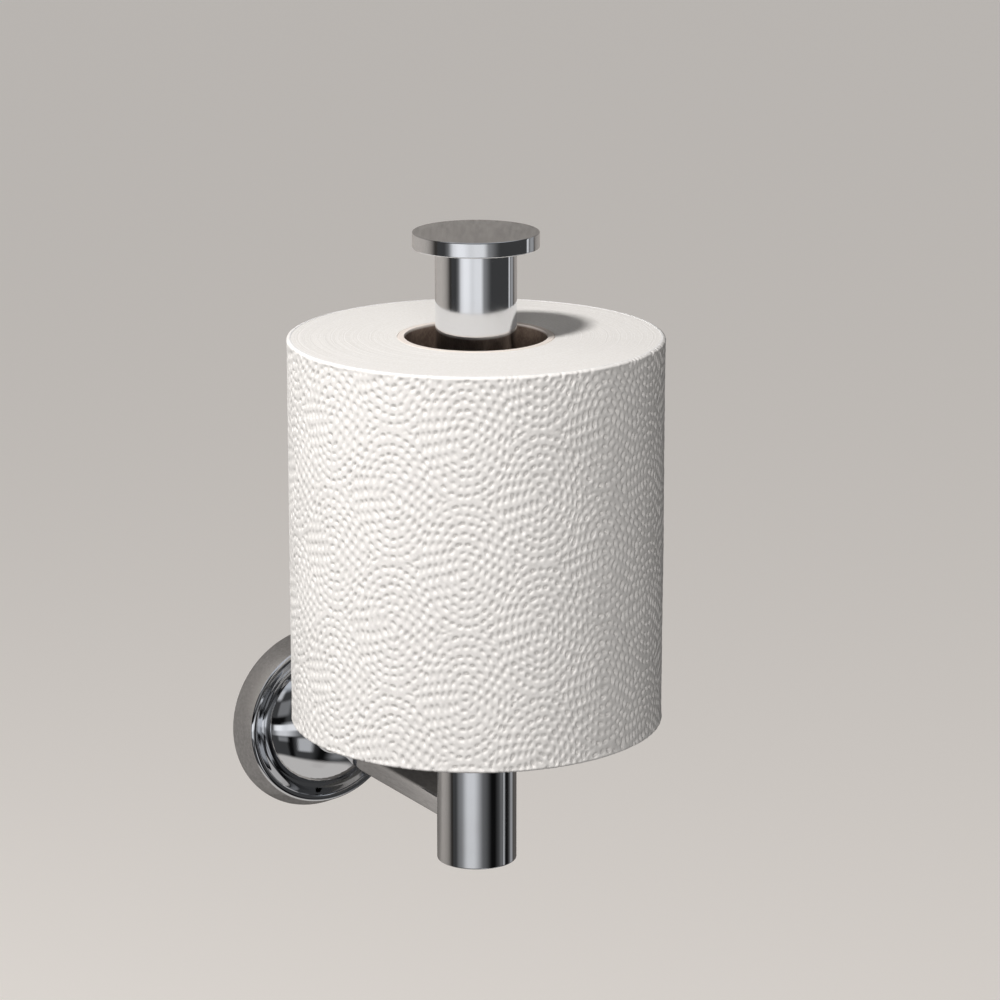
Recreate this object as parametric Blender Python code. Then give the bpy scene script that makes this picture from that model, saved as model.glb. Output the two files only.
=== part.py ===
"""Upright toilet paper holder: a rosette on the wall, a flat arm, and a post that the roll stands on.

Metres, +Z up. The origin is the centre of the wall plate's back face, +Y runs into the wall,
and the post stands in front of it at -Y. Run it with blender --background --python part.py.
"""

import math

import bmesh
import bpy
from mathutils import Matrix, Vector

MM = 0.001
GAP = 0.3 * MM  # clear space left between two pieces that touch

# ---- driving dimensions ----

PROJECTION = 97.3 * MM  # wall to the post's axis

# rosette and the dome in it; heights are distances from the wall
ROSETTE_RADIUS = 28.0 * MM
ROSETTE_EDGE = 0.8 * MM  # straight edge at the wall, before the rim leans in
LIP_RADIUS = 24.3 * MM
LIP_HEIGHT = 7.4 * MM
LIP_ROUND = 0.8 * MM
TROUGH_HEIGHT = 4.4 * MM
TROUGH_WIDTH = 1.0 * MM
DOME_RADIUS = 19.9 * MM
DOME_HEIGHT = 9.8 * MM
NECK_RADIUS = 6.8 * MM
NECK_HEIGHT = 2.2 * MM  # straight neck beyond the dome

# wall plate, screws and plugs
PLATE_RADIUS = 21.0 * MM
PLATE_THICKNESS = 3.0 * MM
SPIGOT_RADIUS = 8.5 * MM
SPIGOT_LENGTH = 6.0 * MM
GROOVE_DEPTH = 1.0 * MM
GROOVE_WIDTH = 3.6 * MM
SCREW_SPACING = 27.0 * MM  # between the two wall screws
WALL_SCREW_RADIUS = 1.75 * MM
WALL_SCREW_HEAD_RADIUS = 3.5 * MM
WALL_SCREW_LENGTH = 22.0 * MM
PLUG_RADIUS = 2.6 * MM
PLUG_COLLAR_RADIUS = 3.4 * MM
PLUG_COLLAR_THICKNESS = 1.0 * MM
PLUG_LENGTH = 22.0 * MM

# arm
ARM_WIDTH = 20.8 * MM
ARM_THICKNESS = 5.6 * MM
ARM_EDGE_ROUND = 1.5 * MM
ARM_FLAT_FROM = 48.0 * MM  # distance from the wall where the full width is reached
ARM_NECK_TO = 24.0 * MM  # distance from the wall where the round neck ends
TONGUE_WIDTH = 12.0 * MM
TONGUE_THICKNESS = 4.2 * MM
TONGUE_REACH = 4.5 * MM  # beyond the post's axis
ARM_SCREW_RADIUS = 2.5 * MM
ARM_SCREW_HEAD_RADIUS = 4.3 * MM
ARM_SCREW_HEAD_HEIGHT = 2.6 * MM
ARM_SCREW_BITE = 11.0 * MM  # length in the arm's neck

# post, cap and what holds them
POST_RADIUS = 11.2 * MM
POST_WALL = 1.5 * MM
POST_DROP = 15.2 * MM  # arm's centre line to the tube's lower end
POST_RISE = 159.9 * MM  # arm's centre line to the tube's upper end
POST_EDGE = 0.3 * MM
CAP_RADIUS = 17.4 * MM
CAP_THICKNESS = 4.3 * MM
CAP_EDGE = 0.4 * MM
CAP_SPIGOT_LENGTH = 6.0 * MM
RING_THICKNESS = 1.2 * MM  # o-ring section
FOOT_PLUG_THICKNESS = 1.5 * MM
INSERT_ABOVE = 16.0 * MM  # arm's centre line to the insert's top
CLAMP_SCREW_RADIUS = 2.5 * MM
CLAMP_SCREW_HEAD_RADIUS = 4.2 * MM
CLAMP_SCREW_HEAD_HEIGHT = 2.6 * MM
CLAMP_SCREW_BITE = 4.6 * MM  # above the arm's tongue
TIE_ROD_RADIUS = 2.5 * MM
TIE_ROD_BITE = 6.0 * MM  # in the insert

# rest under the roll
REST_TOP = 26.4 * MM  # arm's centre line to the disc's top
REST_RADIUS = 29.0 * MM
REST_THICKNESS = 2.5 * MM
BUSH_WALL = 2.7 * MM
BUSH_FLANGE_RADIUS = 16.5 * MM
BUSH_FLANGE_THICKNESS = 1.0 * MM
WASHER_THICKNESS = 0.8 * MM
COLLAR_RADIUS = 15.4 * MM
COLLAR_HEIGHT = 4.0 * MM

# grub screws
GRUB_RADIUS = 1.5 * MM
SOCKET_SHARE = 0.55  # a hex socket's radius as a share of its screw's
SOCKET_DEPTH = 1.6 * MM

# roll
ROLL_RADIUS = 52.2 * MM
ROLL_HEIGHT = 108.8 * MM
ROLL_EDGE = 0.6 * MM
CORE_BORE_RADIUS = 19.5 * MM
CORE_WALL = 2.1 * MM

# facets round a turned piece
SEGMENTS = 48
SMALL_SEGMENTS = 24
ROLL_SEGMENTS = 72
CORNER_STEPS = 5

# ---- sizes worked out from them ----

POST_BORE_RADIUS = POST_RADIUS - POST_WALL
INNER_RADIUS = POST_BORE_RADIUS - GAP  # insert, plug and spigot in the tube
CAP_UNDERSIDE = POST_RISE + GAP
ROLL_BOTTOM = REST_TOP + GAP
DOME_BASE = TROUGH_HEIGHT + 2 * GAP  # the dome sits on the rosette's inner edge
NECK_TOP = DOME_BASE + DOME_HEIGHT + NECK_HEIGHT
ARM_ROOT = NECK_TOP + GAP
SPIGOT_END = PLATE_THICKNESS + SPIGOT_LENGTH
ROSETTE_BORE_RADIUS = DOME_RADIUS - 1.2 * MM
RECESS_DEPTH = PLATE_THICKNESS + GAP
TROUGH_RADIUS = DOME_RADIUS + TROUGH_WIDTH / 2
GRUB_HEIGHT = SPIGOT_END - GROOVE_WIDTH / 2 - 0.8 * MM
INTO_WALL = Matrix.Rotation(math.pi / 2, 4, "X")  # local +Z becomes -Y, out of the wall
OVERSHOOT = 2.0 * MM  # how far a cutter runs past what it cuts


# ---- tools ----


def clear_scene():
    for old in list(bpy.data.objects):
        bpy.data.objects.remove(old, do_unlink=True)


def material(name, colour, roughness, metallic):
    """A Principled material with one colour."""
    made = bpy.data.materials.new(name)
    made.use_nodes = True
    shader = made.node_tree.nodes["Principled BSDF"]
    shader.inputs["Base Color"].default_value = (*colour, 1.0)
    shader.inputs["Roughness"].default_value = roughness
    shader.inputs["Metallic"].default_value = metallic
    made.diffuse_color = (*colour, 1.0)
    return made


def chrome(name):
    return material(name + "_chrome", (0.78, 0.79, 0.80), 0.06, 1.0)


def zinc(name):
    return material(name + "_zinc", (0.58, 0.59, 0.60), 0.35, 1.0)


def steel(name):
    return material(name + "_steel", (0.50, 0.50, 0.51), 0.30, 1.0)


def brass(name):
    return material(name + "_brass", (0.80, 0.62, 0.30), 0.28, 1.0)


def nylon(name):
    return material(name + "_nylon", (0.86, 0.86, 0.83), 0.50, 0.0)


def rubber(name):
    return material(name + "_rubber", (0.03, 0.03, 0.03), 0.60, 0.0)


def paper(name):
    return material(name + "_paper", (0.92, 0.91, 0.89), 0.90, 0.0)


def cardboard(name):
    return material(name + "_cardboard", (0.62, 0.52, 0.43), 0.85, 0.0)


def shade(mesh):
    mesh.shade_smooth()
    mesh.set_sharp_from_angle(angle=math.radians(30))


def add_object(name, work, finish, place=None):
    """An object from a bmesh, with its own material, placed by a matrix."""
    mesh = bpy.data.meshes.new(name)
    bmesh.ops.recalc_face_normals(work, faces=work.faces)
    work.to_mesh(mesh)
    work.free()
    shade(mesh)
    made = bpy.data.objects.new(name, mesh)
    bpy.context.scene.collection.objects.link(made)
    if finish is not None:
        mesh.materials.append(finish(name))
    if place is not None:
        made.matrix_world = place
    return made


def turn(profile, segments, phase=0.0):
    """A solid turned about Z from (radius, height) points.

    A profile that starts and ends on the axis is a closed body; any other is joined up as a ring.
    """
    work = bmesh.new()
    rings = []
    for radius, height in profile:
        if radius < 1e-7:
            rings.append([work.verts.new((0, 0, height))])
            continue
        angles = [phase + 2 * math.pi * i / segments for i in range(segments)]
        rings.append([work.verts.new((radius * math.cos(a), radius * math.sin(a), height)) for a in angles])
    on_axis = len(rings[0]) == 1 and len(rings[-1]) == 1
    pairs = list(zip(rings[:-1], rings[1:]))
    if not on_axis:
        pairs.append((rings[-1], rings[0]))
    for low, high in pairs:
        for i in range(segments):
            j = (i + 1) % segments
            corners = [low[i % len(low)], low[j % len(low)], high[j % len(high)], high[i % len(high)]]
            unique = list(dict.fromkeys(corners))
            if len(unique) > 2:
                work.faces.new(unique)
    return work


def turned(name, profile, finish, place=None, segments=SEGMENTS):
    return add_object(name, turn(profile, segments), finish, place)


def box(low, high):
    """A box between two corners, as a bmesh."""
    work = bmesh.new()
    size = Vector(high) - Vector(low)
    middle = (Vector(high) + Vector(low)) / 2
    bmesh.ops.create_cube(work, size=1.0, matrix=Matrix.Translation(middle) @ Matrix.Diagonal((*size, 1.0)))
    return work


def rod(radius, low, high, segments=SMALL_SEGMENTS, phase=0.0):
    """A plain cylinder along Z, as a bmesh."""
    return turn([(0, low), (radius, low), (radius, high), (0, high)], segments, phase)


def cut(target, name, work, place=None, mode="DIFFERENCE"):
    """Boolean a hidden tool object with the target."""
    tool = add_object(name, work, None, place)
    tool.hide_render = True
    tool.display_type = "WIRE"
    step = target.modifiers.new(name, "BOOLEAN")
    step.operation = mode
    step.solver = "EXACT"
    step.object = tool
    return tool


def arc(centre, radius, start, end, steps):
    """(radius, height) points round an arc, angles in degrees from the outward direction."""
    points = []
    for i in range(steps + 1):
        a = math.radians(start + (end - start) * i / steps)
        points.append((centre[0] + radius * math.cos(a), centre[1] + radius * math.sin(a)))
    return points


def ease(value, start, end):
    """0 before start, 1 after end, and a smooth rise between them."""
    share = min(max((value - start) / (end - start), 0.0), 1.0)
    return share * share * (3 - 2 * share)


def mix(a, b, share):
    return a + (b - a) * share


def out_of_wall(x=0.0, z=0.0):
    """A place on the wall whose local +Z points away from it."""
    return Matrix.Translation((x, 0, z)) @ INTO_WALL


POST = Matrix.Translation((0, -PROJECTION, 0))


def hex_socket(screw, radius, low, high, place=None):
    cut(screw, screw.name + "_socket", rod(radius * SOCKET_SHARE, low, high, 6), place)


# ---- wall side ----


def wall_plate():
    """Round bracket with two countersunk holes and a grooved spigot; its back is solid at the centre."""
    groove_low = GRUB_HEIGHT - GROOVE_WIDTH / 2
    groove_high = GRUB_HEIGHT + GROOVE_WIDTH / 2
    plate = turned(
        "wall_plate",
        [
            (0, 0),
            (PLATE_RADIUS, 0),
            (PLATE_RADIUS, PLATE_THICKNESS),
            (SPIGOT_RADIUS, PLATE_THICKNESS),
            (SPIGOT_RADIUS, groove_low),
            (SPIGOT_RADIUS - GROOVE_DEPTH, groove_low),
            (SPIGOT_RADIUS - GROOVE_DEPTH, groove_high),
            (SPIGOT_RADIUS, groove_high),
            (SPIGOT_RADIUS, SPIGOT_END),
            (0, SPIGOT_END),
        ],
        zinc,
        out_of_wall(),
    )
    hole = WALL_SCREW_RADIUS + 0.4 * MM
    sink = WALL_SCREW_HEAD_RADIUS + 0.45 * MM
    for side, x in ((1, -SCREW_SPACING / 2), (2, SCREW_SPACING / 2)):
        cutter = turn(
            [
                (0, -OVERSHOOT),
                (hole, -OVERSHOOT),
                (hole, PLATE_THICKNESS - (sink - hole)),
                (sink, PLATE_THICKNESS),
                (sink, PLATE_THICKNESS + OVERSHOOT),
                (0, PLATE_THICKNESS + OVERSHOOT),
            ],
            SMALL_SEGMENTS,
        )
        cut(plate, f"wall_plate_hole_{side}", cutter, out_of_wall(x))


def wall_screws_and_plugs():
    """Two countersunk screws through the plate, each in a nylon plug in the wall."""
    top = PLATE_THICKNESS - 0.1 * MM
    neck = top - (WALL_SCREW_HEAD_RADIUS - WALL_SCREW_RADIUS)
    tip = top - WALL_SCREW_LENGTH
    bore = WALL_SCREW_RADIUS + GAP
    slot_half = 0.5 * MM
    for side, x in ((1, -SCREW_SPACING / 2), (2, SCREW_SPACING / 2)):
        screw = turned(
            f"wall_screw_{side}",
            [
                (0, tip),
                (WALL_SCREW_RADIUS, tip + 1.6 * WALL_SCREW_RADIUS),
                (WALL_SCREW_RADIUS, neck),
                (WALL_SCREW_HEAD_RADIUS, top),
                (0, top),
            ],
            steel,
            out_of_wall(x),
            SMALL_SEGMENTS,
        )
        arm_half = 0.55 * WALL_SCREW_HEAD_RADIUS
        for turn_no, angle in enumerate((0, math.pi / 2)):
            slot = box((-arm_half, -slot_half, top - SOCKET_DEPTH), (arm_half, slot_half, top + OVERSHOOT))
            place = out_of_wall(x) @ Matrix.Rotation(angle, 4, "Z")
            cut(screw, f"wall_screw_{side}_slot_{turn_no}", slot, place)
        turned(
            f"wall_plug_{side}",
            [
                (0, -PLUG_LENGTH),
                (0.8 * PLUG_RADIUS, -PLUG_LENGTH),
                (PLUG_RADIUS, -PLUG_LENGTH + 2 * MM),
                (PLUG_RADIUS, -GAP - PLUG_COLLAR_THICKNESS),
                (PLUG_COLLAR_RADIUS, -GAP - PLUG_COLLAR_THICKNESS),
                (PLUG_COLLAR_RADIUS, -GAP),
                (bore, -GAP),
                (bore, min(tip, -GAP) - 1 * MM),
                (0, min(tip, -GAP) - 1 * MM),
            ],
            nylon,
            out_of_wall(x),
            SMALL_SEGMENTS,
        )


def rosette():
    """Turned cover ring: leaning rim, round lip, and a trough that runs in to the dome."""
    lip_low = LIP_HEIGHT - LIP_ROUND
    lip = arc((LIP_RADIUS, lip_low), LIP_ROUND, 15, 150, CORNER_STEPS)
    trough_outer = lip[-1]
    steps = 8
    cove = []
    for i in range(1, steps + 1):
        share = i / steps
        radius = mix(trough_outer[0], TROUGH_RADIUS, share)
        drop = math.sin(share * math.pi / 2)
        cove.append((radius, mix(trough_outer[1], TROUGH_HEIGHT, drop)))
    profile = [
        (PLATE_RADIUS + GAP, 0),
        (ROSETTE_RADIUS, 0),
        (ROSETTE_RADIUS, ROSETTE_EDGE),
        *lip,
        *cove,
        (DOME_RADIUS + 0.2 * MM, TROUGH_HEIGHT + GAP),
        (ROSETTE_BORE_RADIUS, TROUGH_HEIGHT + GAP),
        (ROSETTE_BORE_RADIUS, RECESS_DEPTH),
        (PLATE_RADIUS + GAP, RECESS_DEPTH),
    ]
    turned("rosette", profile, chrome, out_of_wall())


def arm_boss():
    """Domed boss that slides over the plate's spigot and carries the arm's neck."""
    neck_angle = math.degrees(math.acos((NECK_RADIUS + 1.6 * MM) / DOME_RADIUS))
    steps = 9
    dome = []
    for i in range(steps + 1):
        a = math.radians(neck_angle * i / steps)
        dome.append((DOME_RADIUS * math.cos(a), DOME_BASE + DOME_HEIGHT * math.sin(a)))
    bore = SPIGOT_RADIUS + GAP
    bore_end = SPIGOT_END + GAP
    head_end = bore_end + ARM_SCREW_HEAD_HEIGHT + GAP
    boss = turned(
        "arm_boss",
        [
            (bore, RECESS_DEPTH + GAP),
            (ROSETTE_BORE_RADIUS - GAP, RECESS_DEPTH + GAP),
            (ROSETTE_BORE_RADIUS - GAP, DOME_BASE),
            *dome,
            (NECK_RADIUS + 0.3 * MM, NECK_TOP - 1.2 * MM),
            (NECK_RADIUS, NECK_TOP),
            (ARM_SCREW_RADIUS + GAP, NECK_TOP),
            (ARM_SCREW_RADIUS + GAP, head_end),
            (ARM_SCREW_HEAD_RADIUS + GAP, head_end),
            (ARM_SCREW_HEAD_RADIUS + GAP, bore_end),
            (bore, bore_end),
        ],
        chrome,
        out_of_wall(),
    )
    down = Matrix.Translation((0, -GRUB_HEIGHT, 0)) @ Matrix.Rotation(math.pi, 4, "X")
    cut(boss, "arm_boss_grub_hole", rod(GRUB_RADIUS + GAP, SPIGOT_RADIUS / 2, DOME_RADIUS + OVERSHOOT), down)
    grub = turned(
        "boss_grub_screw",
        [
            (0, SPIGOT_RADIUS - GROOVE_DEPTH + GAP),
            (GRUB_RADIUS, SPIGOT_RADIUS - GROOVE_DEPTH + GAP),
            (GRUB_RADIUS, DOME_RADIUS - 3.4 * MM),
            (0, DOME_RADIUS - 3.4 * MM),
        ],
        steel,
        down,
        SMALL_SEGMENTS,
    )
    top = DOME_RADIUS - 3.4 * MM
    hex_socket(grub, GRUB_RADIUS, top - SOCKET_DEPTH, top + OVERSHOOT, down)


def arm_screw():
    """Cap screw from behind, through the boss into the arm's neck."""
    head_low = SPIGOT_END + 2 * GAP
    head_high = head_low + ARM_SCREW_HEAD_HEIGHT - GAP
    screw = turned(
        "arm_screw",
        [
            (0, head_low),
            (ARM_SCREW_HEAD_RADIUS, head_low),
            (ARM_SCREW_HEAD_RADIUS, head_high),
            (ARM_SCREW_RADIUS, head_high),
            (ARM_SCREW_RADIUS, ARM_ROOT + ARM_SCREW_BITE),
            (0, ARM_ROOT + ARM_SCREW_BITE),
        ],
        steel,
        out_of_wall(),
        SMALL_SEGMENTS,
    )
    socket_top = head_low + SOCKET_DEPTH
    hex_socket(screw, ARM_SCREW_RADIUS * 1.5, head_low - OVERSHOOT, socket_top, out_of_wall())


# ---- arm ----


def arm_section(distance):
    """Outline of the arm at a distance from the wall: round neck first, then a flat bar with soft edges."""
    share = ease(distance, ARM_NECK_TO, ARM_FLAT_FROM)
    round_radius = NECK_RADIUS - GAP
    half_width = mix(round_radius, ARM_WIDTH / 2, share)
    half_height = mix(round_radius, ARM_THICKNESS / 2, share)
    corner = min(mix(round_radius, ARM_EDGE_ROUND, share), half_height - 0.05 * MM, half_width - 0.05 * MM)
    points = []
    for quarter, (sx, sz) in enumerate(((1, 1), (-1, 1), (-1, -1), (1, -1))):
        for i in range(CORNER_STEPS + 1):
            a = math.pi / 2 * (quarter + i / CORNER_STEPS)
            x = sx * (half_width - corner) + corner * math.cos(a)
            z = sz * (half_height - corner) + corner * math.sin(a)
            points.append((x, z))
    return points


def arm():
    """Arm: lofted bar with a saddle for the post, and a tongue that goes on into the post's insert."""
    work = bmesh.new()
    inside_post = PROJECTION - POST_RADIUS / 2
    distances = [ARM_ROOT]
    steps = 12
    distances += [mix(ARM_NECK_TO, ARM_FLAT_FROM, i / steps) for i in range(steps + 1)]
    distances.append(inside_post)
    loops = [[work.verts.new((x, -distance, z)) for x, z in arm_section(distance)] for distance in distances]
    count = len(loops[0])
    for near, far in zip(loops[:-1], loops[1:]):
        for i in range(count):
            j = (i + 1) % count
            work.faces.new((near[i], near[j], far[j], far[i]))
    work.faces.new(loops[0][::-1])
    work.faces.new(loops[-1])
    bar = add_object("arm", work, chrome)
    saddle = rod(POST_RADIUS + GAP, -ARM_THICKNESS * 2, ARM_THICKNESS * 2, SEGMENTS)
    cut(bar, "arm_saddle", saddle, POST)
    half = TONGUE_WIDTH / 2
    thick = TONGUE_THICKNESS / 2
    tongue = box((-half, -TONGUE_REACH, -thick), (half, POST_RADIUS + 8 * MM, thick))
    cut(bar, "arm_tongue", tongue, POST, "UNION")
    hole = rod(CLAMP_SCREW_RADIUS + GAP, -ARM_THICKNESS, ARM_THICKNESS)
    cut(bar, "arm_clamp_hole", hole, POST)
    bite = rod(ARM_SCREW_RADIUS + GAP, ARM_ROOT - OVERSHOOT, ARM_ROOT + ARM_SCREW_BITE + 0.8 * MM)
    cut(bar, "arm_screw_hole", bite, out_of_wall())


# ---- post ----


def slot(extra, back):
    """Cutter for the arm's tongue: from just past its end to the wall side."""
    half = TONGUE_WIDTH / 2 + extra
    thick = TONGUE_THICKNESS / 2 + extra
    front = back - OVERSHOOT
    return box((-half, front, -thick), (half, POST_RADIUS + OVERSHOOT, thick))


def post_tube():
    """Polished tube with softened ends and a slot in its back for the arm's tongue."""
    tube = turned(
        "post_tube",
        [
            (POST_BORE_RADIUS, -POST_DROP),
            (POST_RADIUS - POST_EDGE, -POST_DROP),
            (POST_RADIUS, -POST_DROP + POST_EDGE),
            (POST_RADIUS, POST_RISE - POST_EDGE),
            (POST_RADIUS - POST_EDGE, POST_RISE),
            (POST_BORE_RADIUS, POST_RISE),
        ],
        chrome,
        POST,
    )
    cut(tube, "post_tube_slot", slot(GAP, POST_BORE_RADIUS / 2), POST)


def insert_bottom():
    """Height of the insert's lower face: above the foot plug and the clamp screw's head."""
    return -POST_DROP + GAP + FOOT_PLUG_THICKNESS + GAP + CLAMP_SCREW_HEAD_HEIGHT + GAP


def post_insert():
    """Brass slug in the tube's foot, slotted for the tongue and bored for the clamp screw and the tie rod."""
    low = insert_bottom()
    insert = turned(
        "post_insert",
        [(0, low), (INNER_RADIUS, low), (INNER_RADIUS, INSERT_ABOVE), (0, INSERT_ABOVE)],
        brass,
        POST,
    )
    cut(insert, "post_insert_slot", slot(GAP, -TONGUE_REACH - GAP + OVERSHOOT), POST)
    screw_top = TONGUE_THICKNESS / 2 + CLAMP_SCREW_BITE + GAP
    cut(insert, "post_insert_screw_hole", rod(CLAMP_SCREW_RADIUS + GAP, low - OVERSHOOT, screw_top), POST)
    rod_hole = rod(TIE_ROD_RADIUS + GAP, INSERT_ABOVE - TIE_ROD_BITE - GAP, INSERT_ABOVE + OVERSHOOT)
    cut(insert, "post_insert_rod_hole", rod_hole, POST)


def clamp_screw():
    """Cap screw from below that holds the arm's tongue in the insert."""
    head_high = insert_bottom() - GAP
    head_low = head_high - CLAMP_SCREW_HEAD_HEIGHT
    screw_top = TONGUE_THICKNESS / 2 + CLAMP_SCREW_BITE
    screw = turned(
        "clamp_screw",
        [
            (0, head_low),
            (CLAMP_SCREW_HEAD_RADIUS, head_low),
            (CLAMP_SCREW_HEAD_RADIUS, head_high),
            (CLAMP_SCREW_RADIUS, head_high),
            (CLAMP_SCREW_RADIUS, screw_top),
            (0, screw_top),
        ],
        steel,
        POST,
        SMALL_SEGMENTS,
    )
    hex_socket(screw, CLAMP_SCREW_RADIUS * 1.5, head_low - OVERSHOOT, head_low + SOCKET_DEPTH, POST)


def foot_plug():
    low = -POST_DROP + GAP
    high = low + FOOT_PLUG_THICKNESS
    edge = 0.3 * MM
    turned(
        "foot_plug",
        [(0, low), (INNER_RADIUS - edge, low), (INNER_RADIUS, low + edge), (INNER_RADIUS, high), (0, high)],
        chrome,
        POST,
    )


def tie_rod():
    low = INSERT_ABOVE - TIE_ROD_BITE
    high = CAP_UNDERSIDE + 0.35 * CAP_THICKNESS
    turned(
        "tie_rod",
        [(0, low), (TIE_ROD_RADIUS, low), (TIE_ROD_RADIUS, high), (0, high)],
        steel,
        POST,
        SMALL_SEGMENTS,
    )


def cap():
    """Thin disc with a grooved spigot in the tube's bore, and its o-ring."""
    top = CAP_UNDERSIDE + CAP_THICKNESS
    spigot_low = CAP_UNDERSIDE - CAP_SPIGOT_LENGTH
    groove_middle = CAP_UNDERSIDE - 0.4 * CAP_SPIGOT_LENGTH
    groove_half = RING_THICKNESS / 2 + 0.4 * MM
    ring_radius = POST_BORE_RADIUS - 0.2 * MM - RING_THICKNESS / 2
    groove_radius = ring_radius - RING_THICKNESS / 2 - 0.2 * MM
    hole_top = CAP_UNDERSIDE + 0.35 * CAP_THICKNESS + GAP
    turned(
        "cap",
        [
            (0, top),
            (CAP_RADIUS - CAP_EDGE, top),
            (CAP_RADIUS, top - CAP_EDGE),
            (CAP_RADIUS, CAP_UNDERSIDE + CAP_EDGE),
            (CAP_RADIUS - CAP_EDGE, CAP_UNDERSIDE),
            (INNER_RADIUS, CAP_UNDERSIDE),
            (INNER_RADIUS, groove_middle + groove_half),
            (groove_radius, groove_middle + groove_half),
            (groove_radius, groove_middle - groove_half),
            (INNER_RADIUS, groove_middle - groove_half),
            (INNER_RADIUS, spigot_low),
            (TIE_ROD_RADIUS + GAP, spigot_low),
            (TIE_ROD_RADIUS + GAP, hole_top),
            (0, hole_top),
        ],
        chrome,
        POST,
    )
    section = arc((ring_radius, groove_middle), RING_THICKNESS / 2, 0, 315, 7)
    turned("cap_o_ring", section, rubber, POST)


# ---- rest under the roll ----


def ring(name, inner, outer, low, high, finish, segments=SEGMENTS):
    profile = [(inner, low), (outer, low), (outer, high), (inner, high)]
    return turned(name, profile, finish, POST, segments)


def rest(spin_axis):
    """Fixed collar, slip washer, and the disc and bush that turn on the post under the roll."""
    running = POST_RADIUS + GAP
    bush_outer = running + BUSH_WALL
    disc_low = REST_TOP - REST_THICKNESS
    flange_high = disc_low - GAP
    flange_low = flange_high - BUSH_FLANGE_THICKNESS
    washer_high = flange_low - GAP
    washer_low = washer_high - WASHER_THICKNESS
    collar_high = washer_low - GAP
    collar_low = collar_high - COLLAR_HEIGHT
    collar = ring("rest_collar", running, COLLAR_RADIUS, collar_low, collar_high, chrome)
    sideways = POST @ Matrix.Translation((0, 0, (collar_low + collar_high) / 2)) @ Matrix.Rotation(-math.pi / 2, 4, "X")
    cut(collar, "rest_collar_hole", rod(GRUB_RADIUS + GAP, POST_RADIUS - GAP, COLLAR_RADIUS + OVERSHOOT), sideways)
    grub_end = COLLAR_RADIUS - 0.4 * MM
    grub_start = POST_RADIUS + GAP
    grub = add_object("collar_grub_screw", rod(GRUB_RADIUS, grub_start, grub_end), steel, sideways)
    hex_socket(grub, GRUB_RADIUS, grub_end - SOCKET_DEPTH, grub_end + OVERSHOOT, sideways)
    ring("slip_washer", running, BUSH_FLANGE_RADIUS, washer_low, washer_high, nylon)
    bush = turned(
        "rest_bush",
        [
            (running, flange_low),
            (BUSH_FLANGE_RADIUS, flange_low),
            (BUSH_FLANGE_RADIUS, flange_high),
            (bush_outer, flange_high),
            (bush_outer, REST_TOP - GAP),
            (running, REST_TOP - GAP),
        ],
        nylon,
        POST,
    )
    edge = 0.5 * MM
    inner = bush_outer + GAP
    disc = turned(
        "rest_disc",
        [
            (inner, disc_low),
            (REST_RADIUS - edge, disc_low),
            (REST_RADIUS, disc_low + edge),
            (REST_RADIUS, REST_TOP - edge),
            (REST_RADIUS - edge, REST_TOP),
            (inner, REST_TOP),
        ],
        chrome,
        POST,
    )
    hang(bush, spin_axis)
    hang(disc, spin_axis)


# ---- roll ----


def roll(lift_axis):
    """Wound paper and its cardboard core, which lift off over the cap."""
    top = ROLL_BOTTOM + ROLL_HEIGHT
    core_outer = CORE_BORE_RADIUS + CORE_WALL
    core_profile = [
        (CORE_BORE_RADIUS, ROLL_BOTTOM),
        (core_outer, ROLL_BOTTOM),
        (core_outer, top),
        (CORE_BORE_RADIUS, top),
    ]
    core = turned("roll_core", core_profile, cardboard, POST, ROLL_SEGMENTS)
    inner = core_outer + GAP
    wound = turned(
        "paper_roll",
        [
            (inner, ROLL_BOTTOM),
            (ROLL_RADIUS - ROLL_EDGE, ROLL_BOTTOM),
            (ROLL_RADIUS, ROLL_BOTTOM + ROLL_EDGE),
            (ROLL_RADIUS, top - ROLL_EDGE),
            (ROLL_RADIUS - ROLL_EDGE, top),
            (inner, top),
        ],
        paper,
        POST,
        ROLL_SEGMENTS,
    )
    hang(core, lift_axis)
    hang(wound, lift_axis)


# ---- joints ----


def axis_empty(name, height, parent=None):
    """An empty on the post's axis that moving pieces hang from."""
    empty = bpy.data.objects.new(name, None)
    empty.matrix_world = POST @ Matrix.Translation((0, 0, height))
    bpy.context.scene.collection.objects.link(empty)
    if parent is not None:
        hang(empty, parent)
    return empty


def hang(child, parent):
    """Parent a piece without moving it."""
    bpy.context.view_layer.update()
    place = child.matrix_world.copy()
    child.parent = parent
    child.matrix_parent_inverse = parent.matrix_world.inverted()
    child.matrix_world = place


def build():
    clear_scene()
    wall_plate()
    wall_screws_and_plugs()
    rosette()
    arm_boss()
    arm_screw()
    arm()
    post_tube()
    post_insert()
    clamp_screw()
    foot_plug()
    tie_rod()
    cap()
    spin_axis = axis_empty("rest_spin_axis", REST_TOP)
    lift_axis = axis_empty("roll_lift_axis", ROLL_BOTTOM, spin_axis)
    rest(spin_axis)
    roll(lift_axis)


build()
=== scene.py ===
# %% [markdown]
# # An upright toilet paper holder
# A round rosette on the wall, a flat arm, and a polished post that a roll stands on. The CAD
# model already has every size and every joint. This script gives each piece its final surface:
# mirror chrome, embossed tissue, cardboard, nylon and steel. It is read from top to bottom, one
# piece at a time, and every size is worked out from the frame or named in millimetres.

import math

import bmesh
import bpy
import numpy as np
from mathutils import Matrix, Vector


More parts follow.
